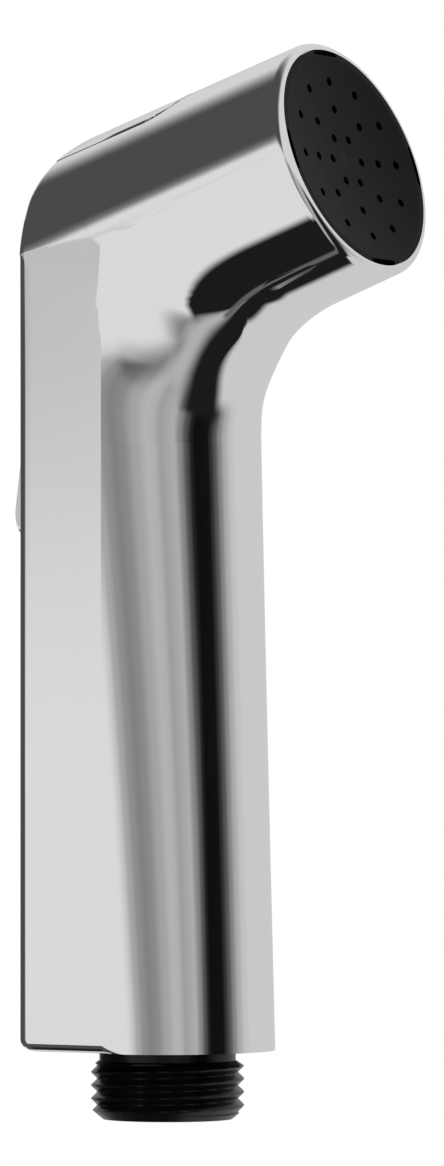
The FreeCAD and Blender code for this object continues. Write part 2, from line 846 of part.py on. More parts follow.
def makeNipple():
    ridge = feature("ThreadRidge", threadRidge())
    steps = [
        rod("thread_root_radius", "thread_end_bevel", "thread_length"),
        cone("thread_root_radius - thread_end_bevel", "thread_root_radius", "0", "thread_end_bevel"),
        rod("collar_radius", "thread_length", flangeLow),
        rod("nipple_flange_radius", flangeLow, flangeHigh),
        rod("spigot_radius", flangeHigh, "spigot_top"),
        ridge,
    ]
    groove = cut(
        rod("spigot_radius + slip", ringLevel, f"{ringLevel} + 2 * ring_section"),
        [rod(ringGroove, f"{ringLevel} - slip", f"{ringLevel} + 2 * ring_section + slip")],
    )
    bores = [
        rod("mouth_radius", "-1", "mouth_depth"),
        rod("cartridge_radius + slip", "0", cartridgeTop),
        rod("nipple_outlet_radius", "0", "spigot_top + 1"),
        groove,
    ]
    keep("inlet_nipple", cut(joined(steps), bores))
    ring = torus(f"{ringGroove} + ring_section", "ring_section", f"{ringLevel} + ring_section")
    keep("nipple_o_ring", ring)


def spiderHoles(start, end):
    """The ring of water holes through the check valve's upper wall."""
    ring = "(cartridge_radius - cartridge_wall + check_stem_radius) / 2"
    holes = []
    for index in range(spider_holes):
        turn = 360 * index / spider_holes
        holes.append(rod("spider_hole_radius", start, end, f"{ring} * cos({turn})", f"{ring} * sin({turn})"))
    return holes


def makeCheckValve():
    base = "(mouth_depth + slip)"
    top = f"({base} + cartridge_length)"
    spider = f"({top} - spider_thickness)"
    seat = f"({base} + cartridge_floor)"
    hollows = [
        rod("check_seat_radius", f"{base} - 1", f"{seat} + 1"),
        rod("cartridge_radius - cartridge_wall", seat, spider),
        rod("check_stem_radius + slip", f"{spider} - 1", f"{top} + 1"),
    ]
    hollows += spiderHoles(f"{spider} - 1", f"{top} + 1")
    keep("check_valve_cage", cut(rod("cartridge_radius", base, top), hollows))
    disc = f"({seat} + check_seal_thickness)"
    steps = [
        rod("check_poppet_radius", disc, f"{disc} + check_poppet_thickness"),
        rod("check_stem_radius", disc, f"{spider} + spider_thickness / 2"),
        rod("check_plug_radius", f"{seat} - check_plug_reach", disc),
    ]
    keep("check_valve_poppet", joined(steps))
    hole = rod("check_plug_radius", f"{seat} - 1", f"{disc} + 1")
    keep("check_valve_seal", cut(rod("check_poppet_radius", seat, disc), [hole]))


def level(text):
    """The value of an expression, for the pieces whose shape is set by code."""
    return float(sheet.evalExpression(expression(text)))


def originPlane(body, role):
    return next(item for item in body.Origin.OriginFeatures if item.Role == role)


def sketchOn(body, name, role="XY_Plane"):
    sketch = body.newObject("Sketcher::SketchObject", name)
    sketch.AttachmentSupport = [(originPlane(body, role), "")]
    sketch.MapMode = "FlatFace"
    return sketch


def circleIn(sketch, radius, above="0"):
    """A circle on the sketch's vertical axis, with its radius and height bound to the sheet."""
    circle = sketch.addGeometry(Part.Circle(Vector(0, level(above), 0), Vector(0, 0, 1), level(radius)))
    number = sketch.addConstraint(Sketcher.Constraint("Radius", circle, level(radius)))
    sketch.setExpression(f"Constraints[{number}]", expression(radius))
    if above == "0":
        sketch.addConstraint(Sketcher.Constraint("Coincident", circle, 3, -1, 1))
        return
    sketch.addConstraint(Sketcher.Constraint("PointOnObject", circle, 3, -2))
    number = sketch.addConstraint(Sketcher.Constraint("DistanceY", -1, 1, circle, 3, level(above)))
    sketch.setExpression(f"Constraints[{number}]", expression(above))


def pocketRing(body, name, radius, ring, count):
    """A ring of round holes, cut down from the top plane of a disc."""
    sketch = sketchOn(body, name + "_sketch")
    circleIn(sketch, radius, ring)
    pocket = body.newObject("PartDesign::Pocket", name)
    pocket.Profile = sketch
    pocket.Type = 1
    doc.recompute()
    patternAround(body, sketch, pocket, name + "_ring", count)


def perforatedDisc(label, radius, thickness, rings):
    """A disc under its own top plane, with rings of holes through it."""
    body = doc.addObject("PartDesign::Body", label)
    sketch = sketchOn(body, label + "_outline")
    circleIn(sketch, radius)
    pad = body.newObject("PartDesign::Pad", label + "_pad")
    pad.Profile = sketch
    bind(pad, "Length", thickness)
    pad.Reversed = True
    body.Tip = pad
    doc.recompute()
    for index, (holeRadius, ring, count) in enumerate(rings):
        pocketRing(body, f"{label}_holes{index}", holeRadius, ring, count)
    return keep(label, body)


def makeInletDiscs():
    rings = []
    for ring in range(1, strainer_rings + 1):
        rings.append(("strainer_hole_radius", f"{ring} * strainer_spacing", 6 * ring))
    strainer = perforatedDisc("inlet_strainer", "mouth_radius - slip", "strainer_thickness", rings)
    top = "strainer_recess + strainer_thickness"
    moveTo(strainer, z=top)
    rings = [("limiter_hole_radius", "limiter_ring_radius", limiter_holes)]
    limiter = perforatedDisc("flow_limiter", "mouth_radius - slip", "limiter_thickness", rings)
    moveTo(limiter, z=f"{top} + slip + limiter_thickness")


def makeSprings():
    """Both springs stop a running gap short of the pieces they press on."""
    disc = "check_seal_thickness + check_poppet_thickness"
    base = level(f"mouth_depth + slip + cartridge_floor + {disc} + slip")
    top = level("mouth_depth + slip + cartridge_length - spider_thickness - slip")
    turns = size("check_spring_turns")
    spring = coil(size("check_spring_radius"), size("check_spring_wire"), turns, base, top)
    keep("check_valve_spring", feature("CheckSpring", spring))
    start = level(f"{springStart} + slip")
    end = level("valve_front - plug_floor - slip")
    turns = size("valve_spring_turns")
    spring = coil(size("valve_spring_radius"), size("valve_spring_wire"), turns, start, end)
    alongX(keep("valve_spring", feature("ValveSpring", spring)))


# Places along the valve's axis, from the seat's shoulder at zero
sealStart = "seat_length"
flangeStart = f"{sealStart} + seal_thickness"
springStart = f"{flangeStart} + poppet_thickness"
pocketFront = "-(outlet_chamber_length + guide_wall)"
pocketRear = f"({pocketFront} - 2 * stem_ring_section)"


def makeValve():
    seat = cut(
        rod("valve_bore_radius - slip", "0", "seat_length"),
        [rod("seat_hole_radius", "-1", "seat_length + 1")],
    )
    alongX(keep("valve_seat", seat))
    stem = joined([
        rod("stem_radius", "-stem_reach", sealStart),
        rod("stem_tail_radius", sealStart, f"{springStart} + stem_tail_length"),
        rod("poppet_radius", flangeStart, springStart),
    ])
    alongX(keep("valve_stem", stem))
    seal = cut(
        rod("poppet_radius", sealStart, flangeStart),
        [rod("stem_tail_radius", f"{sealStart} - 1", f"{flangeStart} + 1")],
    )
    alongX(keep("poppet_seal", seal))
    ring = torus("stem_radius + stem_ring_section", "stem_ring_section")
    alongX(keep("stem_o_ring", ring), f"{pocketFront} - stem_ring_section")
    gland = cut(
        joined([
            rod("valve_bore_radius - slip", "-valve_rear", pocketRear),
            rod("gland_head_radius", "-valve_rear - gland_head", "-valve_rear"),
        ]),
        [rod("stem_radius + slip", "-valve_rear - 2", "0")],
    )
    alongX(keep("valve_gland", gland))
    pocket = "valve_spring_radius + valve_spring_wire"
    plug = cut(
        joined([
            rod("valve_bore_radius - slip", "valve_front - plug_skirt", "valve_front"),
            rod("plug_flange_radius", "valve_front", "valve_front + plug_flange"),
        ]),
        [rod(pocket, "valve_front - plug_skirt - 1", "valve_front - plug_floor")],
    )
    alongX(keep("valve_plug", plug))
    ring = torus("valve_bore_radius + plug_ring_section", "plug_ring_section")
    alongX(keep("plug_o_ring", ring), "valve_front - plug_ring_section")


def turnedX(radius, start, end):
    """A round step along +X at the valve's level."""
    return alongX(rod(radius, "0", f"({end}) - ({start})"), start)


def headRod(radius, back, length):
    """A round step along the head's axis, from a distance behind the face towards the face."""
    return alongHead(rod(radius, "0", length), back)


def makeHandleCore():
    chamberTop = f"({socketRoof} + socket_chamber)"
    outletX = "-outlet_chamber_length / 2"
    socketBack = "(head_socket_mouth + head_socket_depth)"
    outletTop = f"face_height - {socketBack} * sin(head_tilt) + 1"
    socketEnd = f"{socketBack} + socket_end_wall"
    plugRing = "2 * plug_ring_section"
    solids = [
        rod("socket_radius", socketLow, socketHigh),
        rod("riser_radius", f"{socketHigh} - 1", "valve_level", "riser_forward"),
        turnedX("valve_housing_radius", "-valve_rear", "valve_front"),
        rod("outlet_pipe_radius", "valve_level", outletTop, outletX),
        headRod("head_socket_radius", socketEnd, "head_socket_depth + socket_end_wall"),
    ]
    hollows = [
        rod("spigot_radius + slip", f"{socketLow} - 1", socketRoof),
        rod("riser_forward + riser_bore_radius + slip", f"{socketRoof} - 1", chamberTop),
        rod("riser_bore_radius", f"{chamberTop} - 1", "valve_level", "riser_forward"),
        turnedX("valve_bore_radius", "-valve_rear - 1", pocketRear),
        turnedX("stem_radius + 2 * stem_ring_section", f"{pocketRear} - 1", pocketFront),
        turnedX("stem_radius + slip", f"{pocketFront} - 1", "-1"),
        turnedX("outlet_chamber_radius", "-outlet_chamber_length", "1"),
        turnedX("valve_bore_radius", "0", "valve_front + 1"),
        turnedX(f"valve_bore_radius + {plugRing}", f"valve_front - {plugRing}", "valve_front + 1"),
        rod("outlet_bore_radius", "valve_level", f"{outletTop} - 1", outletX),
        headRod("head_socket_bore", socketBack, "head_socket_depth + 1"),
    ]
    keep("handle_core", cut(joined(solids), hollows))


cupRim = "(plate_thickness + 2 * slip + gasket_thickness)"
cupFloor = f"({cupRim} + cup_depth)"
coneEnd = f"({cupFloor} + cup_cone)"
spigotEnd = "(head_socket_mouth + head_socket_depth - 1)"


def makeHeadParts():
    solids = [
        rod("cup_radius", f"-{cupFloor}", f"-{cupRim}"),
        cone("cup_spigot_radius", "cup_radius", f"-{coneEnd}", f"-{cupFloor}"),
        rod("cup_spigot_radius", f"-{spigotEnd}", f"-{coneEnd} + 1"),
    ]
    grooveBack = "(head_socket_mouth + spigot_ring_inset)"
    grooveEnd = f"-{grooveBack} - 2 * ring_section"
    groove = cut(
        rod("head_socket_bore", grooveEnd, f"-{grooveBack}"),
        [rod("head_socket_bore - 2 * ring_section", f"{grooveEnd} - slip", f"slip - {grooveBack}")],
    )
    ledge = "(spray_plate_depth + spray_plate_thickness)"
    hollows = [
        rod("cup_inner_radius", f"-{cupRim} - {ledge}", "0"),
        rod("cup_inner_radius - cup_ledge", f"cup_floor - {cupFloor}", "0"),
        rod("cup_spigot_bore", f"-{spigotEnd} - 1", "0"),
        groove,
    ]
    alongHead(keep("head_cup", cut(joined(solids), hollows)))
    ring = torus("head_socket_bore - ring_section", "ring_section")
    alongHead(keep("spigot_o_ring", ring), f"{grooveBack} + ring_section")
    gasket = cut(
        rod("cup_radius - slip", f"-{cupRim}", f"gasket_thickness - {cupRim}"),
        [rod("cup_inner_radius + slip", f"-{cupRim} - 1", "0")],
    )
    alongHead(keep("face_gasket", gasket))


def makeSprayPlate():
    sprayPlate = perforatedDisc(
        "spray_plate",
        "cup_inner_radius - slip",
        "spray_plate_thickness",
        [
            ("spray_hole_radius", "spray_ring_radius", spray_holes),
            ("spray_hole_radius", "spray_ring_radius / 2", spray_holes // 2),
        ],
    )
    alongHead(sprayPlate, f"{cupRim} + spray_plate_depth")


def constrained(sketch, constraints):
    """Add constraints, each with the expression its value is bound to, or None."""
    for constraint, text in constraints:
        number = sketch.addConstraint(constraint)
        if text:
            sketch.setExpression(f"Constraints[{number}]", expression(text))


def plateProfile(body):
    """Half of the plate's section: flat back, straight edge, narrow rim and a shallow dish."""
    sketch = sketchOn(body, "plate_profile", "XZ_Plane")
    outer = size("plate_radius")
    half = outer - size("plate_rim")
    deep = -size("plate_thickness")
    sag = size("plate_dish")
    ballRadius = (half * half + sag * sag) / (2 * sag)
    ball = Vector(0, ballRadius - sag, 0)
    corners = [Vector(0, deep, 0), Vector(outer, deep, 0), Vector(outer, 0, 0), Vector(half, 0, 0)]
    for start, end in zip(corners, corners[1:]):
        sketch.addGeometry(Part.LineSegment(start, end))
    circle = Part.Circle(ball, Vector(0, 0, 1), ballRadius)
    sketch.addGeometry(Part.ArcOfCircle(circle, -math.pi / 2, math.atan2(-ball.y, half)))
    sketch.addGeometry(Part.LineSegment(Vector(0, -sag, 0), corners[0]))
    rule = Sketcher.Constraint
    constrained(sketch, [
        (rule("Coincident", 0, 2, 1, 1), None),
        (rule("Coincident", 1, 2, 2, 1), None),
        (rule("Coincident", 2, 2, 3, 2), None),
        (rule("Coincident", 3, 1, 4, 1), None),
        (rule("Coincident", 4, 2, 0, 1), None),
        (rule("Horizontal", 0), None),
        (rule("Vertical", 1), None),
        (rule("Horizontal", 2), None),
        (rule("PointOnObject", 3, 3, -2), None),
        (rule("PointOnObject", 4, 1, -2), None),
        (rule("PointOnObject", 4, 2, -2), None),
        (rule("PointOnObject", 2, 1, -1), None),
        (rule("DistanceX", 0, 1, 0, 2, outer), "plate_radius"),
        (rule("DistanceY", 1, 1, 1, 2, -deep), "plate_thickness"),
        (rule("DistanceX", 2, 2, 2, 1, outer - half), "plate_rim"),
        (rule("DistanceY", 4, 1, -1, 1, sag), "plate_dish"),
    ])
    return sketch


def notchOutline(body):
    """One rectangular notch that opens through the plate's edge."""
    sketch = sketchOn(body, "notch_outline")
    half = size("notch_width") / 2
    inner = size("plate_radius") - size("notch_depth")
    outer = size("plate_radius") + size("slip")
    corners = [
        Vector(-half, inner, 0),
        Vector(half, inner, 0),
        Vector(half, outer, 0),
        Vector(-half, outer, 0),
    ]
    for index in range(4):
        sketch.addGeometry(Part.LineSegment(corners[index], corners[(index + 1) % 4]))
    rule = Sketcher.Constraint
    constrained(sketch, [(rule("Coincident", index, 2, (index + 1) % 4, 1), None) for index in range(4)])
    constrained(sketch, [
        (rule("Horizontal", 0), None),
        (rule("Horizontal", 2), None),
        (rule("Vertical", 1), None),
        (rule("Vertical", 3), None),
        (rule("DistanceX", 0, 1, 0, 2, 2 * half), "notch_width"),
        (rule("DistanceX", -1, 1, 0, 2, half), "notch_width / 2"),
        (rule("DistanceY", -1, 1, 0, 2, inner), "plate_radius - notch_depth"),
        (rule("DistanceY", -1, 1, 2, 1, outer), "plate_radius + slip"),
    ])
    return sketch


def patternAround(body, sketch, feature, name, count):
    pattern = body.newObject("PartDesign::PolarPattern", name)
    pattern.Originals = [feature]
    pattern.Axis = (sketch, ["N_Axis"])
    pattern.Angle = 360
    pattern.Occurrences = count
    body.Tip = pattern
    doc.recompute()


def makeNozzlePlate():
    """The dished black plate: a turned disc, three rings of jets and four rim notches."""
    body = doc.addObject("PartDesign::Body", "nozzle_plate")
    turned = body.newObject("PartDesign::Revolution", "plate_turned")
    profile = plateProfile(body)
    turned.Profile = profile
    turned.ReferenceAxis = (profile, ["V_Axis"])
    turned.Angle = 360
    body.Tip = turned
    doc.recompute()
    pocketRing(body, "inner_jets", "jet_radius", "inner_ring_radius", inner_jets)
    pocketRing(body, "middle_jets", "jet_radius", "middle_ring_radius", middle_jets)
    pocketRing(body, "outer_jets", "jet_radius", "outer_ring_radius", outer_jets)
    outline = notchOutline(body)
    notch = body.newObject("PartDesign::Pocket", "rim_notch")
    notch.Profile = outline
    bind(notch, "Length", "notch_height")
    doc.recompute()
    patternAround(body, outline, notch, "rim_notch_ring", rim_notches)
    square = Rotation(Vector(0, 1, 0), 90 - size("head_tilt"))
    turned = square.multiply(Rotation(Vector(0, 0, 1), size("jet_turn")))
    body.Placement = Placement(Vector(), turned)
    moveTo(body, "face_forward", "0", "face_height")
    keep("nozzle_plate", body)


def makeCapScrews():
    low = "body_bottom + cap_recess"
    end = f"{low} + cap_thickness + screw_boss_height - screw_end_gap"
    screws = []
    for side in ("screw_side", "-screw_side"):
        screws.append(joined([
            rod("screw_head_radius", low, f"{low} + screw_head", "-screw_back", side),
            rod("screw_radius", f"{low} + screw_head / 2", end, "-screw_back", side),
        ]))
    group = doc.addObject("Part::Compound", "CapScrews")
    group.Links = screws
    keep("cap_screws", group)


def makeTriggerPin():
    pin = doc.addObject("Part::Cylinder", "TriggerPin")
    bind(pin, "Radius", "pin_radius")
    bind(pin, "Height", "2 * pin_half")
    pin.Placement = Placement(Vector(), Rotation(Vector(1, 0, 0), -90))
    moveTo(
        pin,
        "face_forward - pivot_back * cos(head_tilt) - pivot_radial * sin(head_tilt)",
        "-pin_half",
        "face_height - pivot_back * sin(head_tilt) + pivot_radial * cos(head_tilt)",
    )
    keep("trigger_pin", pin)


def makeShapedPieces():
    """The pieces whose surfaces follow the body's outer form."""
    keep("body_shell", feature("BodyShell", makeBodyShell()))
    keep("trigger_lever", feature("TriggerLever", makeLever()))
    keep("bottom_cap", feature("BottomCap", makeBottomCap()))


makeShapedPieces()
makeTriggerPin()
makeCapScrews()
makeNipple()
makeInletDiscs()
makeCheckValve()
makeHandleCore()
makeValve()
makeHeadParts()
makeSprayPlate()
makeNozzlePlate()
makeSprings()
doc.recompute()

for thing in doc.Objects:
    if "Invalid" in thing.State or "Error" in thing.State:
        raise RuntimeError(f"{thing.Name} did not recompute: {thing.State}")
for label, thing in pieces.items():
    shape = thing.Shape
    if shape.isNull() or not shape.isValid():
        raise RuntimeError(f"{label} has no valid shape")
    print(label, len(shape.Solids), "solids", round(shape.Volume, 1), "mm3")
for label, thing in pieces.items():
    thing.Shape.exportStep(f"parts/{label}.step")
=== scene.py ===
import bpy
from math import atan2, cos, degrees, exp, floor, log, pi, radians, sin, sqrt, tan
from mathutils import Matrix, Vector


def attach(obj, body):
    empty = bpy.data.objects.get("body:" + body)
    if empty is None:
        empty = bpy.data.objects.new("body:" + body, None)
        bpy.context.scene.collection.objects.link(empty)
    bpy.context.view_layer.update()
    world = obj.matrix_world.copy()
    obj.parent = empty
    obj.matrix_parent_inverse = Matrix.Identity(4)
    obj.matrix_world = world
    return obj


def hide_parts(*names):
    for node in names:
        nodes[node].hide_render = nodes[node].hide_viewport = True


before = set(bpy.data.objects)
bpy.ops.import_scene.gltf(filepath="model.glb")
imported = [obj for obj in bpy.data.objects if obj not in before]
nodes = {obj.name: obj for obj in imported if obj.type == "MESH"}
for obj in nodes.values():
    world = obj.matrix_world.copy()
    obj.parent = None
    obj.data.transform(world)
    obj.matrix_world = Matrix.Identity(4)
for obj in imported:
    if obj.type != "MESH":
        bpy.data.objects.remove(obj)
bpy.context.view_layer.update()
print("frame loaded,", len(nodes), "nodes")

bpy.context.scene.view_settings.view_transform = "Standard"


# camera
camera = {
    "place": (0.7348, -1.1326, 0.0730),     # 1.35 m off, level with the middle of the picture
    "facing": 32.66,                        # degrees turned left from looking along Y
    "lens": 305.94,
    "sensor": 36.0,
    "nearest": 0.05,
}


def addCamera(c):
    bpy.ops.object.camera_add(location=c["place"], rotation=(pi / 2, 0, radians(c["facing"])))
    view = bpy.context.object
    view.data.sensor_width = c["sensor"]
    view.data.lens = c["lens"]
    view.data.clip_start = c["nearest"]
    bpy.context.scene.camera = view


addCamera(camera)


# studio: what the chrome mirrors is painted on the world, by direction
# a pair is the start and end of a soft edge, in degrees, or in units across where X or Y is named
studio = {
    "floorLevel": -0.30,
    "floorSize": 2.4,
    "floorColour": (0.80, 0.80, 0.80),
    "floorRoughness": 0.9,
    # brightness along the horizon, by azimuth
    "horizon": [(-60, 0.07), (-42, 0.07), (-37, 0.48), (-33, 0.53), (-31, 0.60), (-28, 0.72), (-6, 0.72),
                (3, 0.52), (9, 0.386), (15, 0.28), (22, 0.228), (28, 0.255), (38, 0.375), (47, 0.465),
                (51, 0.45), (57, 0.355), (62, 0.395), (67, 0.43), (72, 0.25), (77, 0.08), (81, 0.015),
                (84, 0.005), (97, 0.006), (101, 0.03), (106, 0.09), (112, 0.24), (118, 0.41), (127, 0.55),
                (136, 0.60), (140, 0.60)],
    "backWall": 0.60,
    "backEnds": (-130, -120),               # the horizon's list holds from here on
    "raisedFrom": (1.5, 9.0),               # above this the left wall is bright
    "raisedPast": (-40, -36),
    "brightPast": (-33.4, -32.6),
    "frontFrom": (-20, -14),
    # walls on the left end at the horizon, and those in front on a line that falls to the right
    "leftPast": (-44, -38),
    "leftFoot": (-2.6, 0.4),
    "slantLift": 1.4, "slantTurn": 0.9, "slantScale": 1.35,
    "slantEdge": (-5, 5),
    "footShade": 0.45,
    "footShadeTo": (5, 22),
    "footShadeDown": (6, 14),
    # a light streak between the front and the black card, and light beyond the card
    "streakDown": (20, 35),
    "beyondDown": (10, 24),
    "frontTo": (38, 54),
    "beyondFrom": (79, 81),
    # the sky starts higher up on the left
    "sky": (10, 20),
    "skyLift": 15.0,
    "skyLiftFrom": (-106, -98),
    "skyLiftTo": (-46, -42),
    "levelLimit": 0.001,                    # directions nearer level than this count as this
    # a dark flag, placed where a direction meets a ceiling one unit up
    "flagX": ((-3.1, -2.2), (0.3, 0.7)),
    "flagY": ((-4.2, -1.9), (0.05, 0.85)),
    # the black card on the right widens as it comes down
    "cardFrom": 66, "cardShift": 0.2,
    "cardSoft": 12.0, "cardSoften": 0.12,
    "cardTo": (97, 112),
    "cardDown": (2, 10),
    "cardWidensFrom": 66, "cardWidens": 2.0,
    # how far down the light floor reaches before the black one starts, by azimuth
    "floorLine": [(-180, 74), (-160, 66), (-110, 55), (-70, 50), (-30, 49.5), (-10, 51.5), (0, 50.5),
                  (10, 48), (20, 43.5), (28, 40.5), (45, 38), (98, 40), (112, 75), (180, 74)],
    "floorSoft": (-4, 4),
    # a thin grey line on the black floor, placed one unit down
    "thinPlace": 0.04, "thinSlope": 0.52,
    "thinEdge": (0.015, 0.06),
    "thinX": ((-0.3, -0.15), (0.25, 0.4)),
    "floorGlow": 0.72,
    "streakGlow": 0.44,
    "rightGlow": 0.60,
    "skyGlow": 0.66,
    "flagGlow": 0.069,
    "blackGlow": 0.011,
    "thinGlow": 0.12,
}
straightDown = 90.0
lamp = {"place": (-0.7, -0.9, 1.9), "size": 1.2, "power": 27.0}     # metres and watts


def addFloor(s):
    bpy.ops.mesh.primitive_plane_add(size=s["floorSize"], location=(0, 0, s["floorLevel"]))
    ground = bpy.context.object
    ground.name = "floor"
    bpy.ops.object.transform_apply(location=True, rotation=True, scale=True)
    paint = bpy.data.materials.new("floorPaint")
    paint.use_nodes = True
    shader = paint.node_tree.nodes["Principled BSDF"]
    shader.inputs["Base Color"].default_value = s["floorColour"] + (1,)
    shader.inputs["Roughness"].default_value = s["floorRoughness"]
    ground.data.materials.append(paint)
    ground.visible_glossy = False           # the painted studio goes on below the object in its chrome


def addStudio(s):
    world = bpy.data.worlds.new("studio")
    world.use_nodes = True
    bpy.context.scene.world = world
    tree = world.node_tree
    tree.nodes.clear()

    def node(kind, **values):
        n = tree.nodes.new(kind)
        for key, value in values.items():
            setattr(n, key, value)
        return n

    def feed(socket, value):
        if isinstance(value, (int, float)):
            socket.default_value = value
        else:
            tree.links.new(value, socket)

    def maths(operation, *values):
        n = node("ShaderNodeMath", operation=operation)
        for socket, value in zip(n.inputs, values):
            feed(socket, value)
        return n.outputs[0]

    def times(a, b):
        return maths("MULTIPLY", a, b)

    def plus(a, b):
        return maths("ADD", a, b)

    def minus(a, b):
        return maths("SUBTRACT", a, b)

    def over(a, b):
        return maths("DIVIDE", a, b)

    def rising(value, edge, toLow=0.0, toHigh=1.0):
        n = node("ShaderNodeMapRange", interpolation_type="SMOOTHSTEP")
        feed(n.inputs["Value"], value)
        n.inputs["From Min"].default_value, n.inputs["From Max"].default_value = edge
        n.inputs["To Min"].default_value = toLow
        n.inputs["To Max"].default_value = toHigh
        return n.outputs["Result"]

    def falling(value, edge, toLow=1.0):
        return rising(value, edge, toLow, 0.0)

    def inside(value, edges):
        return times(rising(value, edges[0]), falling(value, edges[1]))

    def mix(factor, a, b):
        n = node("ShaderNodeMix", data_type="FLOAT")
        for socket, value in (("Factor", factor), ("A", a), ("B", b)):
            feed(n.inputs[socket], value)
        return n.outputs["Result"]

    def stops(value, values, scale):
        # a smooth curve through a list of stops, each a share of the scale
        def grey(level):
            return (level / scale, level / scale, level / scale, 1.0)
        first, last = values[0][0], values[-1][0]
        curve = node("ShaderNodeValToRGB")
        tree.links.new(over(minus(value, first), last - first), curve.inputs["Fac"])
        curve.color_ramp.interpolation = "EASE"
        marks = curve.color_ramp.elements
        for mark, (at, level) in zip(marks, (values[0], values[-1])):
            mark.position = (at - first) / (last - first)
            mark.color = grey(level)
        for at, level in values[1:-1]:
            marks.new((at - first) / (last - first)).color = grey(level)
        return curve.outputs["Color"]

    where = node("ShaderNodeTexCoord")
    split = node("ShaderNodeSeparateXYZ")
    tree.links.new(where.outputs["Generated"], split.inputs[0])
    x, y, z = split.outputs
    azimuth = times(maths("ARCTAN2", x, times(y, -1.0)), 180 / pi)
    elevation = times(maths("ARCSINE", z), 180 / pi)
    down = times(elevation, -1.0)
    height = maths("MAXIMUM", maths("ABSOLUTE", z), s["levelLimit"])
    planX = over(x, height)
    planY = over(y, height)
    front = rising(azimuth, s["frontFrom"])
    pastFront = rising(azimuth, s["frontTo"])

    def paintWalls():
        walls = stops(azimuth, s["horizon"], 1.0)
        walls = mix(rising(azimuth, s["backEnds"]), s["backWall"], walls)
        raised = times(rising(elevation, s["raisedFrom"]), rising(azimuth, s["raisedPast"]))
        bright = maths("MAXIMUM", rising(azimuth, s["brightPast"]), raised)
        return mix(times(bright, falling(azimuth, s["frontFrom"])), walls, s["floorGlow"])

    def paintFoot(walls):
        slant = over(plus(plus(elevation, s["slantLift"]), times(azimuth, s["slantTurn"])), s["slantScale"])
        leftWall = mix(rising(azimuth, s["leftPast"]), 1.0, rising(elevation, s["leftFoot"]))
        onWall = mix(front, leftWall, rising(slant, s["slantEdge"]))
        shade = times(falling(slant, s["footShadeTo"], s["footShade"]), rising(down, s["footShadeDown"]))
        shaded = times(walls, minus(1.0, times(shade, front)))
        return mix(onWall, s["floorGlow"], shaded)

    def paintRight(light, walls):
        streak = mix(rising(down, s["streakDown"]), walls, s["streakGlow"])
        beyond = mix(rising(down, s["beyondDown"]), walls, s["rightGlow"])
        return mix(pastFront, light, mix(rising(azimuth, s["beyondFrom"]), streak, beyond))

    def paintAbove(light):
        lift = times(inside(azimuth, (s["skyLiftFrom"], s["skyLiftTo"])), s["skyLift"])
        light = mix(rising(minus(elevation, lift), s["sky"]), light, s["skyGlow"])
        flag = times(inside(planX, s["flagX"]), inside(planY, s["flagY"]))
        return mix(times(flag, maths("GREATER_THAN", z, 0.0)), light, s["flagGlow"])

    def paintBelow(light):
        fromLeft = plus(minus(azimuth, s["cardFrom"]), times(down, s["cardShift"]))
        cardLeft = rising(over(fromLeft, plus(times(down, s["cardSoften"]), s["cardSoft"])), (0, 1))
        widening = times(maths("MAXIMUM", minus(down, s["cardWidensFrom"]), 0.0), s["cardWidens"])
        cardRight = falling(minus(azimuth, widening), s["cardTo"])
        card = times(times(cardLeft, cardRight), rising(down, s["cardDown"]))
        floorLine = times(stops(azimuth, s["floorLine"], straightDown), straightDown)
        gap = times(pastFront, minus(1.0, cardLeft))
        onFloor = times(rising(minus(down, floorLine), s["floorSoft"]), minus(1.0, gap))
        light = mix(maths("MAXIMUM", onFloor, card), light, s["blackGlow"])
        offLine = maths("ABSOLUTE", plus(plus(planY, s["thinPlace"]), times(planX, s["thinSlope"])))
        thin = times(falling(offLine, s["thinEdge"]), maths("LESS_THAN", z, 0.0))
        return mix(times(thin, inside(planX, s["thinX"])), light, s["thinGlow"])

    walls = paintWalls()
    light = paintBelow(paintAbove(paintRight(paintFoot(walls), walls)))

    # the camera sees plain white behind the object
    seen = node("ShaderNodeLightPath")
    painted = node("ShaderNodeBackground")
    tree.links.new(light, painted.inputs["Color"])
    white = node("ShaderNodeBackground")
    white.inputs["Color"].default_value = (1, 1, 1, 1)
    both = node("ShaderNodeMixShader")
    tree.links.new(seen.outputs["Is Camera Ray"], both.inputs["Fac"])
    tree.links.new(painted.outputs[0], both.inputs[1])
    tree.links.new(white.outputs[0], both.inputs[2])
    out = node("ShaderNodeOutputWorld")
    tree.links.new(both.outputs[0], out.inputs["Surface"])


def addLamp(s):
    aim = (-Vector(s["place"])).to_track_quat("-Z", "Y").to_euler()
    bpy.ops.object.light_add(type="AREA", location=s["place"], rotation=aim)
    box = bpy.context.object
    box.data.size = s["size"]
    box.data.energy = s["power"]
    box.visible_glossy = False              # the chrome mirrors the painted studio alone


addFloor(studio)
addStudio(studio)
addLamp(lamp)
print("camera and studio ready")


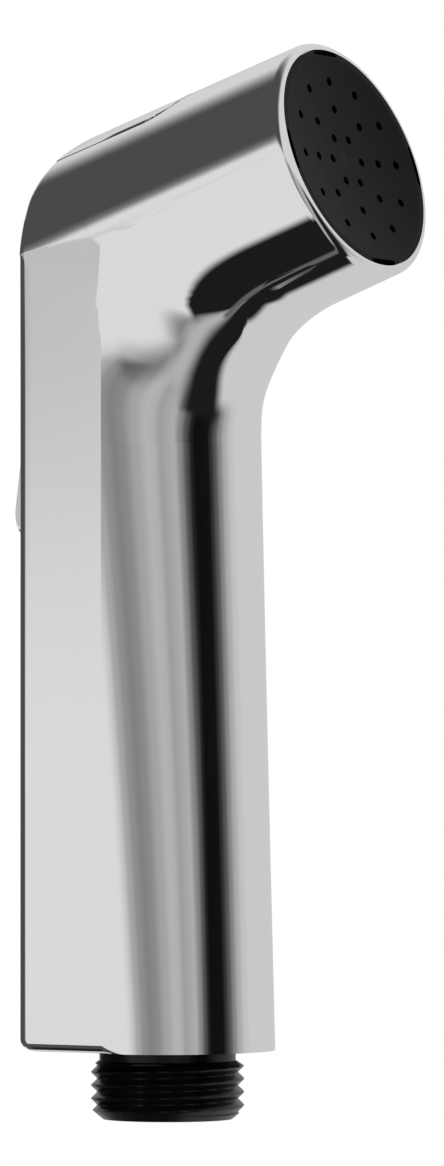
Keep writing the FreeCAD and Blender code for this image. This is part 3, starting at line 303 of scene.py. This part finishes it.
# finishes
finish = {
    # colour, second colour, metallic, reflectance, roughness from and to, grain size, bump height
    "chrome": ((0.97, 0.97, 0.97), (0.95, 0.95, 0.955), 1.0, 0.5, 0.020, 0.036, 0.0030, 0.0),
    "black_plastic": ((0.0025, 0.0025, 0.0026), (0.0040, 0.0040, 0.0041),
                      0.0, 0.30, 0.22, 0.30, 0.0006, 0.000004),
    "nozzle_black": ((0.0030, 0.0030, 0.0031), (0.0045, 0.0045, 0.0046),
                     0.0, 0.11, 0.40, 0.52, 0.0005, 0.00001),
    # shade: a near-black finish that is painted shade, standing in for the shadowed gap round the all-chrome
    # lever
    "shade": ((0.010, 0.010, 0.010), (0.016, 0.016, 0.016), 0.0, 0.2, 0.30, 0.45, 0.0006, 0.0),
    "grey_plastic": ((0.33, 0.335, 0.34), (0.28, 0.285, 0.29), 0.0, 0.5, 0.40, 0.52, 0.0008, 0.00001),
    "rubber": ((0.014, 0.014, 0.014), (0.022, 0.021, 0.020), 0.0, 0.35, 0.62, 0.80, 0.0004, 0.00002),
    "steel": ((0.58, 0.58, 0.59), (0.50, 0.50, 0.51), 1.0, 0.5, 0.20, 0.38, 0.0005, 0.000006),
    "brass": ((0.74, 0.55, 0.29), (0.66, 0.47, 0.23), 1.0, 0.5, 0.18, 0.34, 0.0006, 0.000006),
}
# grain stretched along the turning axis
drawnAlong = {"steel": (1.0, 1.0, 0.06), "brass": (0.06, 1.0, 1.0)}
grain = {"fineDetail": 4.0, "broadScale": 90.0, "broadDetail": 2.0, "bumpStrength": 0.6}


def makeFinish(name, colour, second, metallic, reflectance, smoothest, roughest, size, height):
    m = bpy.data.materials.new(name)
    m.use_nodes = True
    tree = m.node_tree
    shader = tree.nodes["Principled BSDF"]
    shader.inputs["Metallic"].default_value = metallic
    shader.inputs["Specular IOR Level"].default_value = reflectance
    place = tree.nodes.new("ShaderNodeTexCoord")
    stretch = tree.nodes.new("ShaderNodeMapping")
    stretch.inputs["Scale"].default_value = drawnAlong.get(name, (1.0, 1.0, 1.0))
    tree.links.new(place.outputs["Object"], stretch.inputs["Vector"])
    fine = tree.nodes.new("ShaderNodeTexNoise")
    fine.inputs["Scale"].default_value = 1 / size
    fine.inputs["Detail"].default_value = grain["fineDetail"]
    tree.links.new(stretch.outputs["Vector"], fine.inputs["Vector"])
    broad = tree.nodes.new("ShaderNodeTexNoise")
    broad.inputs["Scale"].default_value = grain["broadScale"]
    broad.inputs["Detail"].default_value = grain["broadDetail"]
    tree.links.new(place.outputs["Object"], broad.inputs["Vector"])
    rough = tree.nodes.new("ShaderNodeMapRange")
    rough.inputs["To Min"].default_value = smoothest
    rough.inputs["To Max"].default_value = roughest
    tree.links.new(fine.outputs["Fac"], rough.inputs["Value"])
    tree.links.new(rough.outputs["Result"], shader.inputs["Roughness"])
    tint = tree.nodes.new("ShaderNodeMix")
    tint.data_type = "RGBA"
    tint.inputs["A"].default_value = colour + (1,)
    tint.inputs["B"].default_value = second + (1,)
    tree.links.new(broad.outputs["Fac"], tint.inputs["Factor"])
    tree.links.new(tint.outputs["Result"], shader.inputs["Base Color"])
    if height:
        bump = tree.nodes.new("ShaderNodeBump")
        bump.inputs["Distance"].default_value = height
        bump.inputs["Strength"].default_value = grain["bumpStrength"]
        tree.links.new(fine.outputs["Fac"], bump.inputs["Height"])
        tree.links.new(bump.outputs["Normal"], shader.inputs["Normal"])
    return m


finishes = {name: makeFinish(name, *values) for name, values in finish.items()}


# body shell, laid out from the lines of its side view
mm = 0.001
tiny = 1e-6
joinWithin = 0.000008                       # metres
normalWeight = 100                          # large faces alone set the shading
body = {                                    # millimetres and degrees
    "low": 9.4, "high": 117.0,              # levels that the straight lines below are given at
    "half": (15.31, 17.17),                 # half width across the flats
    "back": (-14.70, -13.44),
    "crease": (-0.83, 0.43),                # where a flat ends and the rounded front starts
    "front": 14.6, "frontLean": 1.67,
    "creaseRate": 0.28,                     # the crease opens by this much each millimetre up
    "noseJoin": 60.0,                       # where the nose's arc gives way to the side's
    "neck": 19.0,                           # fillet under the head
    "face": (29.95, 130.3), "tilt": 20.0,
    "radius": 16.76, "draft": 0.8,
    "topLift": 0.02,                        # the outline of the top lies this much over the head's cone
    "rimRound": 1.1, "seatRadius": 15.6, "seatDepth": 3.1,
    "corner": 12.0, "edgeRound": 1.7, "bottomRound": 1.6, "wall": 2.0,
    "edgeProbe": 0.02, "edgeMost": 0.6,     # shares of the cone or flat ahead of an edge, and of the back
    "cornerSoft": 3.6,                      # how softly the side edge leaves the crease for the head's axis
    "creaseFade": 0.85,                     # share of the neck's turn over which the crease runs out
    "bottomFade": 3.7, "bottomPower": 1.5,  # the bottom edge's round runs out over this on the front
    # above the fade the crease goes on as a shallow fold
    "foldSlope": 0.06, "foldReach": 4.0, "foldFade": 2.0, "foldClear": 8.0,
    "foldStart": 0.45, "foldBlend": 0.2,    # shares of the neck's turn
    "columns": (48, 18, 30, 6, 12),         # front, flat, cone, edge round, back
    "creaseColumns": 6,
    "outerRows": (22, 120, 14),             # grip, neck, head
    "innerRows": (8, 30, 3),
    "bottomRows": 5, "rimRows": 8,
    "footBelow": 1.0,                       # the walls are laid out from this far under the bottom
    "rimRow": 0.1,                          # a row this share of a step before the rim
    "halvings": 40,
    "smoothBelow": 12,
}
# the head's axis, seen from the side
forward = Vector((cos(radians(body["tilt"])), sin(radians(body["tilt"]))))
upward = Vector((-forward.y, forward.x))
face = Vector(body["face"])


def along(pair, level):
    return pair[0] + (pair[1] - pair[0]) * (level - body["low"]) / (body["high"] - body["low"])


def frontLine(level):
    return body["front"] - (level - body["low"]) * tan(radians(body["frontLean"]))


def headRadius(back):
    return body["radius"] + back * tan(radians(body["draft"]))


def meet(a, da, b, db):                     # where two lines cross
    det = db.x * da.y - da.x * db.y
    gap = b - a
    return a + da * ((db.x * gap.y - db.y * gap.x) / det)


def eased(t):
    t = min(1.0, max(0.0, t))
    return t * t * (3 - 2 * t)


def slowlyEased(t):
    t = min(1.0, max(0.0, t))
    return t * t * t * (t * (6 * t - 15) + 10)


lean = radians(body["frontLean"])
under = radians(body["tilt"] + body["draft"])
top = radians(body["tilt"] - body["draft"])
gripSide = Vector((frontLine(body["low"]), body["low"])) + Vector((cos(lean), sin(lean))) * body["neck"]
headSide = face - upward * body["radius"] + Vector((sin(under), -cos(under))) * body["neck"]
neckCentre = meet(gripSide, Vector((-sin(lean), cos(lean))), headSide, Vector((cos(under), sin(under))))
creaseFoot = Vector((along(body["crease"], 0), 0))
creaseUp = Vector((along(body["crease"], 1), 1)) - creaseFoot
creaseTop = meet(creaseFoot, creaseUp, face, forward)
backFoot = Vector((along(body["back"], 0), 0))
backUp = (Vector((along(body["back"], 1), 1)) - backFoot).normalized()
backIn = Vector((backUp.y, -backUp.x))
topAlong = Vector((cos(top), sin(top)))
topOut = Vector((-sin(top), cos(top)))
topPoint = face + upward * (body["radius"] + body["topLift"])
startTurn = pi + lean
endTurn = pi / 2 + under
cornerTurn = atan2(creaseTop.y - neckCentre.y, creaseTop.x - neckCentre.x)


def outerPoint(out, inset):
    # where a line from the neck's centre leaves the body's outline seen from the side
    round = body["corner"] - inset
    centre = meet(backFoot + backIn * (inset + round), backUp, topPoint - topOut * (inset + round), topAlong)
    onBack = meet(neckCentre, out, backFoot + backIn * inset, backUp)
    onTop = meet(neckCentre, out, topPoint - topOut * inset, topAlong)
    lowTangent = centre - backIn * round
    highTangent = centre + topOut * round
    if onBack.y <= lowTangent.y:
        return onBack
    if onTop.x >= highTangent.x:
        return onTop
    gap = neckCentre - centre
    half = out.dot(gap)
    return neckCentre + out * (-half + sqrt(half * half - gap.dot(gap) + round * round))


def coneHalf(p, inset):
    back = (face - p).dot(forward)
    rise = (p - face).dot(upward)
    radius = headRadius(back) - inset
    return sqrt(max(0.0, radius * radius - rise * rise))


def roundedFront(origin, ahead, depth, half, angle, count):
    # from the nose to the side edge: a nose arc, then a side arc that meets the flat at an angle
    join = radians(body["noseJoin"])
    a, b = sin(join) - sin(angle), 1 - sin(join)
    c, d = cos(angle) - cos(join), cos(join)
    det = a * d - b * c
    sideRadius = (depth * d - b * half) / det
    noseRadius = (a * half - c * depth) / det
    points = []
    for i in range(count):
        turn = pi / 2 - (pi / 2 - angle) * i / count
        if turn > join:
            u, v = depth - noseRadius + noseRadius * sin(turn), -noseRadius * cos(turn)
        else:
            u = sideRadius * (sin(turn) - sin(angle))
            v = -half + sideRadius * (cos(angle) - cos(turn))
        points.append((origin + ahead * u, v))
    return points


def closeSection(points, flats, cone, edge, n):
    # flat, cone, rounded edge and back, from the side edge to the middle of the back
    _, nFlat, nCone, nEdge, nBack = n
    probe = body["edgeProbe"]
    before = cone(probe) if cone else flats(1 - probe)
    step = Vector((edge[0].x - before[0].x, edge[0].y - before[0].y, edge[1] - before[1]))
    turning = step.normalized().angle(Vector((0, 0, 1)), 0.0) if step.length > tiny else 0.0
    reach = min(body["edgeRound"] * tan(turning / 2), -edge[1] * body["edgeMost"])
    share = (probe * reach / step.length) if step.length > tiny else 0.0
    if cone:
        points += [flats(i / nFlat) for i in range(nFlat)]
        points += [cone(1 - (1 - share) * i / nCone) for i in range(nCone)]
        a = cone(share)
    else:
        points += [flats((1 - share) * i / nFlat) for i in range(nFlat)]
        a = flats(1 - share)
        points += [a] * nCone
    b = (edge[0], edge[1] + reach)
    weight = cos(turning / 2)
    for i in range(nEdge):
        t = i / nEdge
        k = ((1 - t) ** 2, 2 * weight * t * (1 - t), t * t)
        total = sum(k)
        p = (a[0] * k[0] + edge[0] * k[1] + b[0] * k[2]) / total
        points.append((p, (a[1] * k[0] + edge[1] * k[1] + b[1] * k[2]) / total))
    points += [(b[0], b[1] * (1 - i / nBack)) for i in range(nBack + 1)]
    return points


def gripSection(level, inset, n):
    origin = Vector((along(body["crease"], level), level))
    half = along(body["half"], level) - inset
    angle = radians(max(0.0, body["creaseRate"] * (level - body["low"])))
    points = roundedFront(origin, Vector((1, 0)), frontLine(level) - origin.x - inset, half, angle, n[0])
    back = Vector((along(body["back"], level) + inset, level))

    def flats(t):
        return origin.lerp(back, t), -half
    return closeSection(points, flats, None, (back, -half), n)


def coneStart(near, far, inset, flatAt):
    # where the flat meets the cone, going outward
    for _ in range(body["halvings"]):
        middle = near.lerp(far, 0.5)
        if coneHalf(middle, inset) >= flatAt(middle):
            near = middle
        else:
            far = middle
    return near


def fanSection(turn, inset, n):
    # a section in a plane through the neck's centre
    out = Vector((cos(turn), sin(turn)))
    low = turn > cornerTurn
    turned = (turn - cornerTurn) / (startTurn - cornerTurn)
    onCrease = meet(neckCentre, out, creaseFoot, creaseUp)
    onAxis = meet(neckCentre, out, face, forward)
    # the side edge passes smoothly from the crease line to the head's axis
    toCrease, toAxis = (onCrease - neckCentre).length, (onAxis - neckCentre).length
    soft = body["cornerSoft"]
    origin = neckCentre + out * (-soft * log(exp(-toCrease / soft) + exp(-toAxis / soft)))
    s = 1 / (1 + exp((toAxis - toCrease) / soft))
    depth = (origin - neckCentre).length - body["neck"] - inset
    half = (1 - s) * along(body["half"], onCrease.y) + s * headRadius((face - onAxis).dot(forward)) - inset
    opening = radians(body["creaseRate"] * (onCrease.y - body["low"]))
    angle = opening * slowlyEased(turned / body["creaseFade"])
    points = roundedFront(origin, -out, depth, half, angle, n[0])
    end = outerPoint(out, inset)

    # the fold runs straight up to the head's axis
    fold = eased((body["foldStart"] - turned) / body["foldBlend"])

    def dent(p):
        ahead = p.x - along(body["crease"], p.y)
        if ahead <= 0:
            return 0.0
        toTop = eased((creaseTop.y + ahead * forward.y - p.y) / body["foldFade"])
        return body["foldSlope"] * ahead * exp(-ahead / body["foldReach"]) * fold * toTop

    points = [(p, v + dent(p) * min(1.0, -v / body["foldClear"])) for p, v in points]

    def flatAt(p):
        return along(body["half"], p.y) - inset

    # a few columns lead from the side edge to the crease, and the rest cross the flat behind it
    share = body["creaseColumns"] / n[1]

    def flats(t):
        if t < share:
            p = origin.lerp(onEdge, t / share)
        else:
            p = onEdge.lerp(start, (t - share) / (1 - share))
        t = (p - origin).length / max(tiny, (start - origin).length)
        if low:
            level = flatAt(p) + (half - flatAt(origin)) * (1 - t) + (startHalf - flatAt(start)) * t
            return p, -(level - dent(p))
        return p, -(half + (startHalf - half) * t - dent(p))

    start = onAxis
    onEdge = onAxis
    if low:
        start, startHalf = end, flatAt(end)
        onEdge = onCrease if toCrease > (origin - neckCentre).length else origin
        if (end - neckCentre).length <= toAxis or coneHalf(end, inset) >= flatAt(end):
            return closeSection(points, flats, None, (end, -flatAt(end)), n)
        start = coneStart(onAxis, end, inset, flatAt)
    startHalf = coneHalf(start, inset)
    normal = Vector((-out.y, out.x))
    slope = tan(radians(body["draft"]))
    radius = body["radius"] - inset

    def conePoint(angle):
        base = face + upward * (radius * cos(angle)) - neckCentre
        back = base.dot(normal) / (forward - upward * (slope * cos(angle))).dot(normal)
        size = radius + back * slope
        return face - forward * back + upward * (size * cos(angle)), -size * sin(angle)

    first = atan2(startHalf, (start - face).dot(upward))
    last = atan2(coneHalf(end, inset), (end - face).dot(upward))
    return closeSection(points, flats, lambda t: conePoint(last + (first - last) * t), conePoint(last), n)


def roundSection(back, radius, n):
    # a circle round the head's axis, with the columns where the sections above end
    origin = face - forward * back
    points = roundedFront(origin, -upward, radius, radius, 0.0, n[0])
    points += [(origin, -radius)] * n[1]
    for i in range(n[2]):
        turn = pi / 2 * (1 - i / n[2])
        points.append((origin + upward * (radius * cos(turn)), -radius * sin(turn)))
    return points + [(origin + upward * radius, 0.0)] * (n[3] + n[4] + 1)


def between(a, b, t):
    return [(p.lerp(q, t), v + (w - v) * t) for (p, v), (q, w) in zip(a, b)]


def wallRows(inset, rowCounts, headEnd, n):
    # all sections of the outer or inner wall, from the bottom up to the head
    gripRows, neckRows, headRows = rowCounts
    foot = gripSection(body["low"] - body["footBelow"], inset, n)
    neck = fanSection(startTurn, inset, n)
    rows = []
    for k in range(gripRows):
        row = []
        for (p, v), (q, w) in zip(foot, neck):
            t0 = (body["low"] - p.y) / (q.y - p.y)
            t = t0 + (1 - t0) * k / gripRows
            row.append((p.lerp(q, t), v + (w - v) * t))
        rows.append(row)
    for i in range(neckRows + 1):
        rows.append(fanSection(startTurn + (endTurn - startTurn) * i / neckRows, inset, n))
    last = rows[-1]
    end = roundSection(headEnd, headRadius(headEnd) - inset, n)
    rows += [between(last, end, (k + 1) / headRows) for k in range(headRows - 1)]
    rows += [between(last, end, 1 - body["rimRow"] / headRows), end]
    return rows


def bottomSizes(near, n):
    # the bottom edge is rounded under the flats and the back, and the round runs out on the front
    corner, side = near[n[0]]
    sizes = []
    for column, (p, v) in enumerate(near):
        reach = (p - corner).length + abs(v - side)
        left = 1.0 if column >= n[0] else max(0.0, 1 - reach / body["bottomFade"]) ** body["bottomPower"]
        sizes.append(body["bottomRound"] * left)
    return sizes


def bottomRows(near, sizes, n):
    inside = gripSection(body["low"], 1.0, n)   # one millimetre in
    rows = []
    for i in range(body["bottomRows"]):
        turn = pi / 2 * i / body["bottomRows"]
        row = []
        for size, (p, v), (q, w) in zip(sizes, near, inside):
            drop = size * (1 - sin(turn))
            level = body["low"] + size * (1 - cos(turn))
            row.append((Vector((p.x + (q.x - p.x) * drop, level)), v + (w - v) * drop))
        rows.append(row)
    return rows


def rimRows(n):
    rows = []
    for i in range(1, body["rimRows"] + 1):
        turn = pi / 2 * i / body["rimRows"]
        back = body["rimRound"] * (1 - sin(turn))
        rows.append(roundSection(back, headRadius(body["rimRound"]) - body["rimRound"] * (1 - cos(turn)), n))
    for share in (0.0, 0.5, 1.0):
        rows.append(roundSection(body["seatDepth"] * share, body["seatRadius"], n))
    return rows


def pick(piece):
    bpy.ops.object.select_all(action="DESELECT")
    bpy.context.view_layer.objects.active = piece
    piece.select_set(True)


def loopMesh(name, loops):
    # a grid laid over closed loops of points, with its seams merged
    across, up = len(loops[0]) - 1, len(loops) - 1
    bpy.ops.object.select_all(action="DESELECT")
    bpy.ops.mesh.primitive_grid_add(x_subdivisions=across, y_subdivisions=up, size=1.0)
    piece = bpy.context.object
    piece.name = name
    for vertex in piece.data.vertices:
        column = round((vertex.co.x + 0.5) * across)
        row = round((vertex.co.y + 0.5) * up)
        vertex.co = loops[row][column]
    bpy.ops.object.mode_set(mode="EDIT")
    bpy.ops.mesh.select_all(action="SELECT")
    bpy.ops.mesh.remove_doubles(threshold=joinWithin)
    bpy.ops.mesh.normals_make_consistent(inside=False)
    bpy.ops.object.mode_set(mode="OBJECT")
    return piece


def gridMesh(name, rows):
    # a closed wall from rows of points and their mirror image
    loops = []
    for row in rows + rows[:1]:
        half = [Vector((p.x, v, p.y)) * mm for p, v in row]
        loops.append(half + [Vector((p.x, -p.y, p.z)) for p in reversed(half[1:-1])] + [half[0]])
    return loopMesh(name, loops)


def softShade(piece, angle):
    pick(piece)
    bpy.ops.object.shade_smooth_by_angle(angle=radians(angle))
    bpy.ops.object.modifier_add(type="WEIGHTED_NORMAL")
    piece.modifiers[-1].keep_sharp = True
    piece.modifiers[-1].weight = normalWeight
    bpy.ops.object.modifier_apply(modifier=piece.modifiers[-1].name)


def makeShell():
    n = body["columns"]
    near = gripSection(body["low"], 0.0, n)
    sizes = bottomSizes(near, n)
    outer = wallRows(0.0, body["outerRows"], body["rimRound"], n)
    outer[0] = [(Vector((p.x, p.y + size)), v) for size, (p, v) in zip(sizes, outer[0])]
    inner = wallRows(body["wall"], body["innerRows"], body["seatDepth"], n)
    return gridMesh("bodyShell", bottomRows(near, sizes, n) + outer + rimRows(n) + inner[::-1])


shell = makeShell()
print("body shell", len(shell.data.vertices), "vertices")


slotCut = {                                 # millimetres
    "half": 9.85, "depth": 5.0, "toolHeight": 30.0,
    "noseBack": 24.5, "noseLength": 7.75, "noseSides": 128,
    "runLength": 50.0,
    "inner": -9.0, "tailReach": 20.0, "tail": 75.1, "top": 122.0,
    "tailRound": 3.45, "tailSteps": 10,
}


def setTool(size, centre, tilt):
    tool = bpy.context.object
    tool.scale = size
    bpy.ops.object.transform_apply(location=False, rotation=False, scale=True)
    tool.rotation_euler = (0, -radians(tilt), 0)
    tool.location = (centre.x * mm, 0, centre.y * mm)
    bpy.ops.object.transform_apply(location=True, rotation=True, scale=True)
    return tool


def overSlot(s, back):
    return face - forward * back + upward * (s["depth"] + s["toolHeight"] / 2)


def noseTool(s):
    # the slot's front end on the head is half an ellipse
    high = s["toolHeight"] * mm
    bpy.ops.object.select_all(action="DESELECT")
    bpy.ops.mesh.primitive_cylinder_add(vertices=s["noseSides"], radius=1, depth=high, location=(0, 0, 0))
    return setTool((s["noseLength"] * mm, s["half"] * mm, 1), overSlot(s, s["noseBack"]), body["tilt"])


def runTool(s):
    # the straight run behind it
    size = (s["runLength"] * mm, 2 * s["half"] * mm, s["toolHeight"] * mm)
    bpy.ops.object.select_all(action="DESELECT")
    bpy.ops.mesh.primitive_cube_add(size=1, location=(0, 0, 0))
    return setTool(size, overSlot(s, s["noseBack"] + s["runLength"] / 2), body["tilt"])


def tailTool(s):
    # the slot down the back, with rounded lower corners
    high = s["top"] - s["tail"]
    middle = Vector((s["inner"] - s["tailReach"] / 2, s["tail"] + high / 2))
    bpy.ops.object.select_all(action="DESELECT")
    bpy.ops.mesh.primitive_cube_add(size=1, location=(0, 0, 0))
    tool = setTool((s["tailReach"] * mm, 2 * s["half"] * mm, high * mm), middle, 0.0)
    bpy.ops.object.mode_set(mode="EDIT")
    bpy.ops.mesh.select_all(action="DESELECT")
    bpy.ops.object.mode_set(mode="OBJECT")
    for edge in tool.data.edges:
        a, b = (tool.data.vertices[i].co for i in edge.vertices)
        edge.select = abs(a.x - b.x) > mm and a.z < middle.y * mm
    bpy.ops.object.mode_set(mode="EDIT")
    bpy.ops.mesh.select_mode(type="EDGE")
    bpy.ops.mesh.bevel(offset=s["tailRound"] * mm, segments=s["tailSteps"])
    bpy.ops.object.mode_set(mode="OBJECT")
    return tool


def cutAway(piece, tool):
    pick(piece)
    bpy.ops.object.modifier_add(type="BOOLEAN")
    piece.modifiers[-1].operation = "DIFFERENCE"
    piece.modifiers[-1].object = tool
    bpy.ops.object.modifier_apply(modifier=piece.modifiers[-1].name)
    bpy.data.objects.remove(tool)


for tool in (noseTool(slotCut), runTool(slotCut), tailTool(slotCut)):
    cutAway(shell, tool)
softShade(shell, body["smoothBelow"])
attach(shell, "handle")
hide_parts("body_shell")
print("slot cut,", len(shell.data.polygons), "faces")


nipple = {                                  # millimetres and degrees
    "root": 9.62, "crest": 10.46, "pitch": 1.8, "crestAt": 4.61, "crestTurn": -147.3,
    "pointed": 0.7,                         # share of the ridge that is straight-sided
    "endRadius": 8.8, "endSlope": 1.2, "topRadius": 9.35, "topSlope": 1.5, "threadTop": 8.0,
    "step": 0.1, "around": 160,
    # from the thread up the outside, round the top and down the bore to the bottom face
    "profile": [(9.3, 8.02), (9.3, 12.0), (11.2, 12.0), (11.2, 14.0), (8.6, 14.0), (8.6, 17.1), (7.4, 17.1),
                (7.4, 18.4), (8.6, 18.4), (8.6, 26.0), (4.6, 26.0), (4.6, 23.8), (6.5, 23.8), (6.5, 8.4),
                (7.0, 8.4), (7.0, 0.3), (7.25, 0.0), (8.5, 0.0)],
    "smoothBelow": 40,
}


def threadRadius(n, turn, level):
    # a rounded ridge that climbs to the right, cut off by the collar above and a bevel below
    u = (level - n["crestAt"]) / n["pitch"] - (degrees(turn) - n["crestTurn"]) / 360
    u -= floor(u)
    wave = n["pointed"] * abs(2 * u - 1) + (1 - n["pointed"]) * (1 + cos(2 * pi * u)) / 2
    radius = n["root"] + (n["crest"] - n["root"]) * wave
    radius = min(radius, n["endRadius"] + level * n["endSlope"])
    return min(radius, n["topRadius"] + (n["threadTop"] - level) * n["topSlope"])


def makeNipple(n):
    rows = round(n["threadTop"] / n["step"])
    turns = [2 * pi * i / n["around"] for i in range(n["around"] + 1)]
    loops = []
    for k in range(rows + 1):
        level = n["threadTop"] * k / rows
        radii = [threadRadius(n, turn, level) for turn in turns]
        loops.append([Vector((r * cos(t), r * sin(t), level)) * mm for r, t in zip(radii, turns)])
    for radius, level in n["profile"]:
        loops.append([Vector((radius * cos(t), radius * sin(t), level)) * mm for t in turns])
    return loopMesh("threadedNipple", loops + loops[:1])


threaded = makeNipple(nipple)
softShade(threaded, nipple["smoothBelow"])
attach(threaded, "handle")
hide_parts("inlet_nipple")
print("nipple threaded,", len(threaded.data.polygons), "faces")


leverEdge = {
    "sideways": 0.8, "upright": 0.25,       # normals of the edge faces that get painted shade, across and along the head's top
    "headFrom": -0.010,                     # metres
    "joinWithin": 0.000001,
    "smoothBelow": 30,
}


def makeLever(e):
    # the lever, with the edge faces that stand in the slot given the dark shade finish: painted shade for the
    # shadowed gap round the chrome lever
    pick(nodes["trigger_lever"])
    bpy.ops.object.duplicate()
    lever = bpy.context.object
    lever.name = "triggerLever"
    bpy.ops.object.mode_set(mode="EDIT")
    bpy.ops.mesh.select_all(action="SELECT")
    bpy.ops.mesh.remove_doubles(threshold=e["joinWithin"])
    bpy.ops.mesh.select_all(action="SELECT")
    # the sides are split where they come out of the grip
    bpy.ops.mesh.bisect(plane_co=(backFoot.x * mm, 0, backFoot.y * mm), plane_no=(backIn.x, 0, backIn.y))
    bpy.ops.object.mode_set(mode="OBJECT")
    lever.data.materials.clear()
    lever.data.materials.append(finishes["chrome"])
    lever.data.materials.append(finishes["shade"])
    # side faces inside the grip and sideways faces at the nose wear painted shade; the rest is chrome
    for polygon in lever.data.polygons:
        across = Vector((polygon.normal.x, polygon.normal.z))
        inside = (Vector((polygon.center.x, polygon.center.z)) - backFoot * mm).dot(backIn) > 0
        side = inside and abs(polygon.normal.y) > e["sideways"]
        nose = polygon.center.x > e["headFrom"] and abs(across.dot(upward)) < e["upright"]
        polygon.material_index = 1 if side or nose else 0
    softShade(lever, e["smoothBelow"])
    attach(lever, "lever")
    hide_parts("trigger_lever")
    print("lever,", len(lever.data.polygons), "faces")


makeLever(leverEdge)


# what each node wears; the rest are black plastic
wears = {
    "chrome": ["body_shell", "trigger_lever"],
    "steel": ["trigger_pin", "cap_screws", "valve_spring", "check_valve_spring"],
    "grey_plastic": ["inlet_strainer", "flow_limiter", "check_valve_cage", "check_valve_poppet", "valve_seat",
                     "spray_plate"],
    "rubber": ["nipple_o_ring", "plug_o_ring", "stem_o_ring", "spigot_o_ring", "check_valve_seal",
               "poppet_seal", "face_gasket"],
    "brass": ["valve_stem"],
    "nozzle_black": ["nozzle_plate"],
}
byNode = {name: kind for kind, names in wears.items() for name in names}
for name, obj in nodes.items():
    for slot in obj.material_slots:
        slot.material = finishes[byNode.get(name, "black_plastic")]
shell.data.materials.append(finishes["chrome"])
threaded.data.materials.append(finishes["black_plastic"])
print("finishes on")
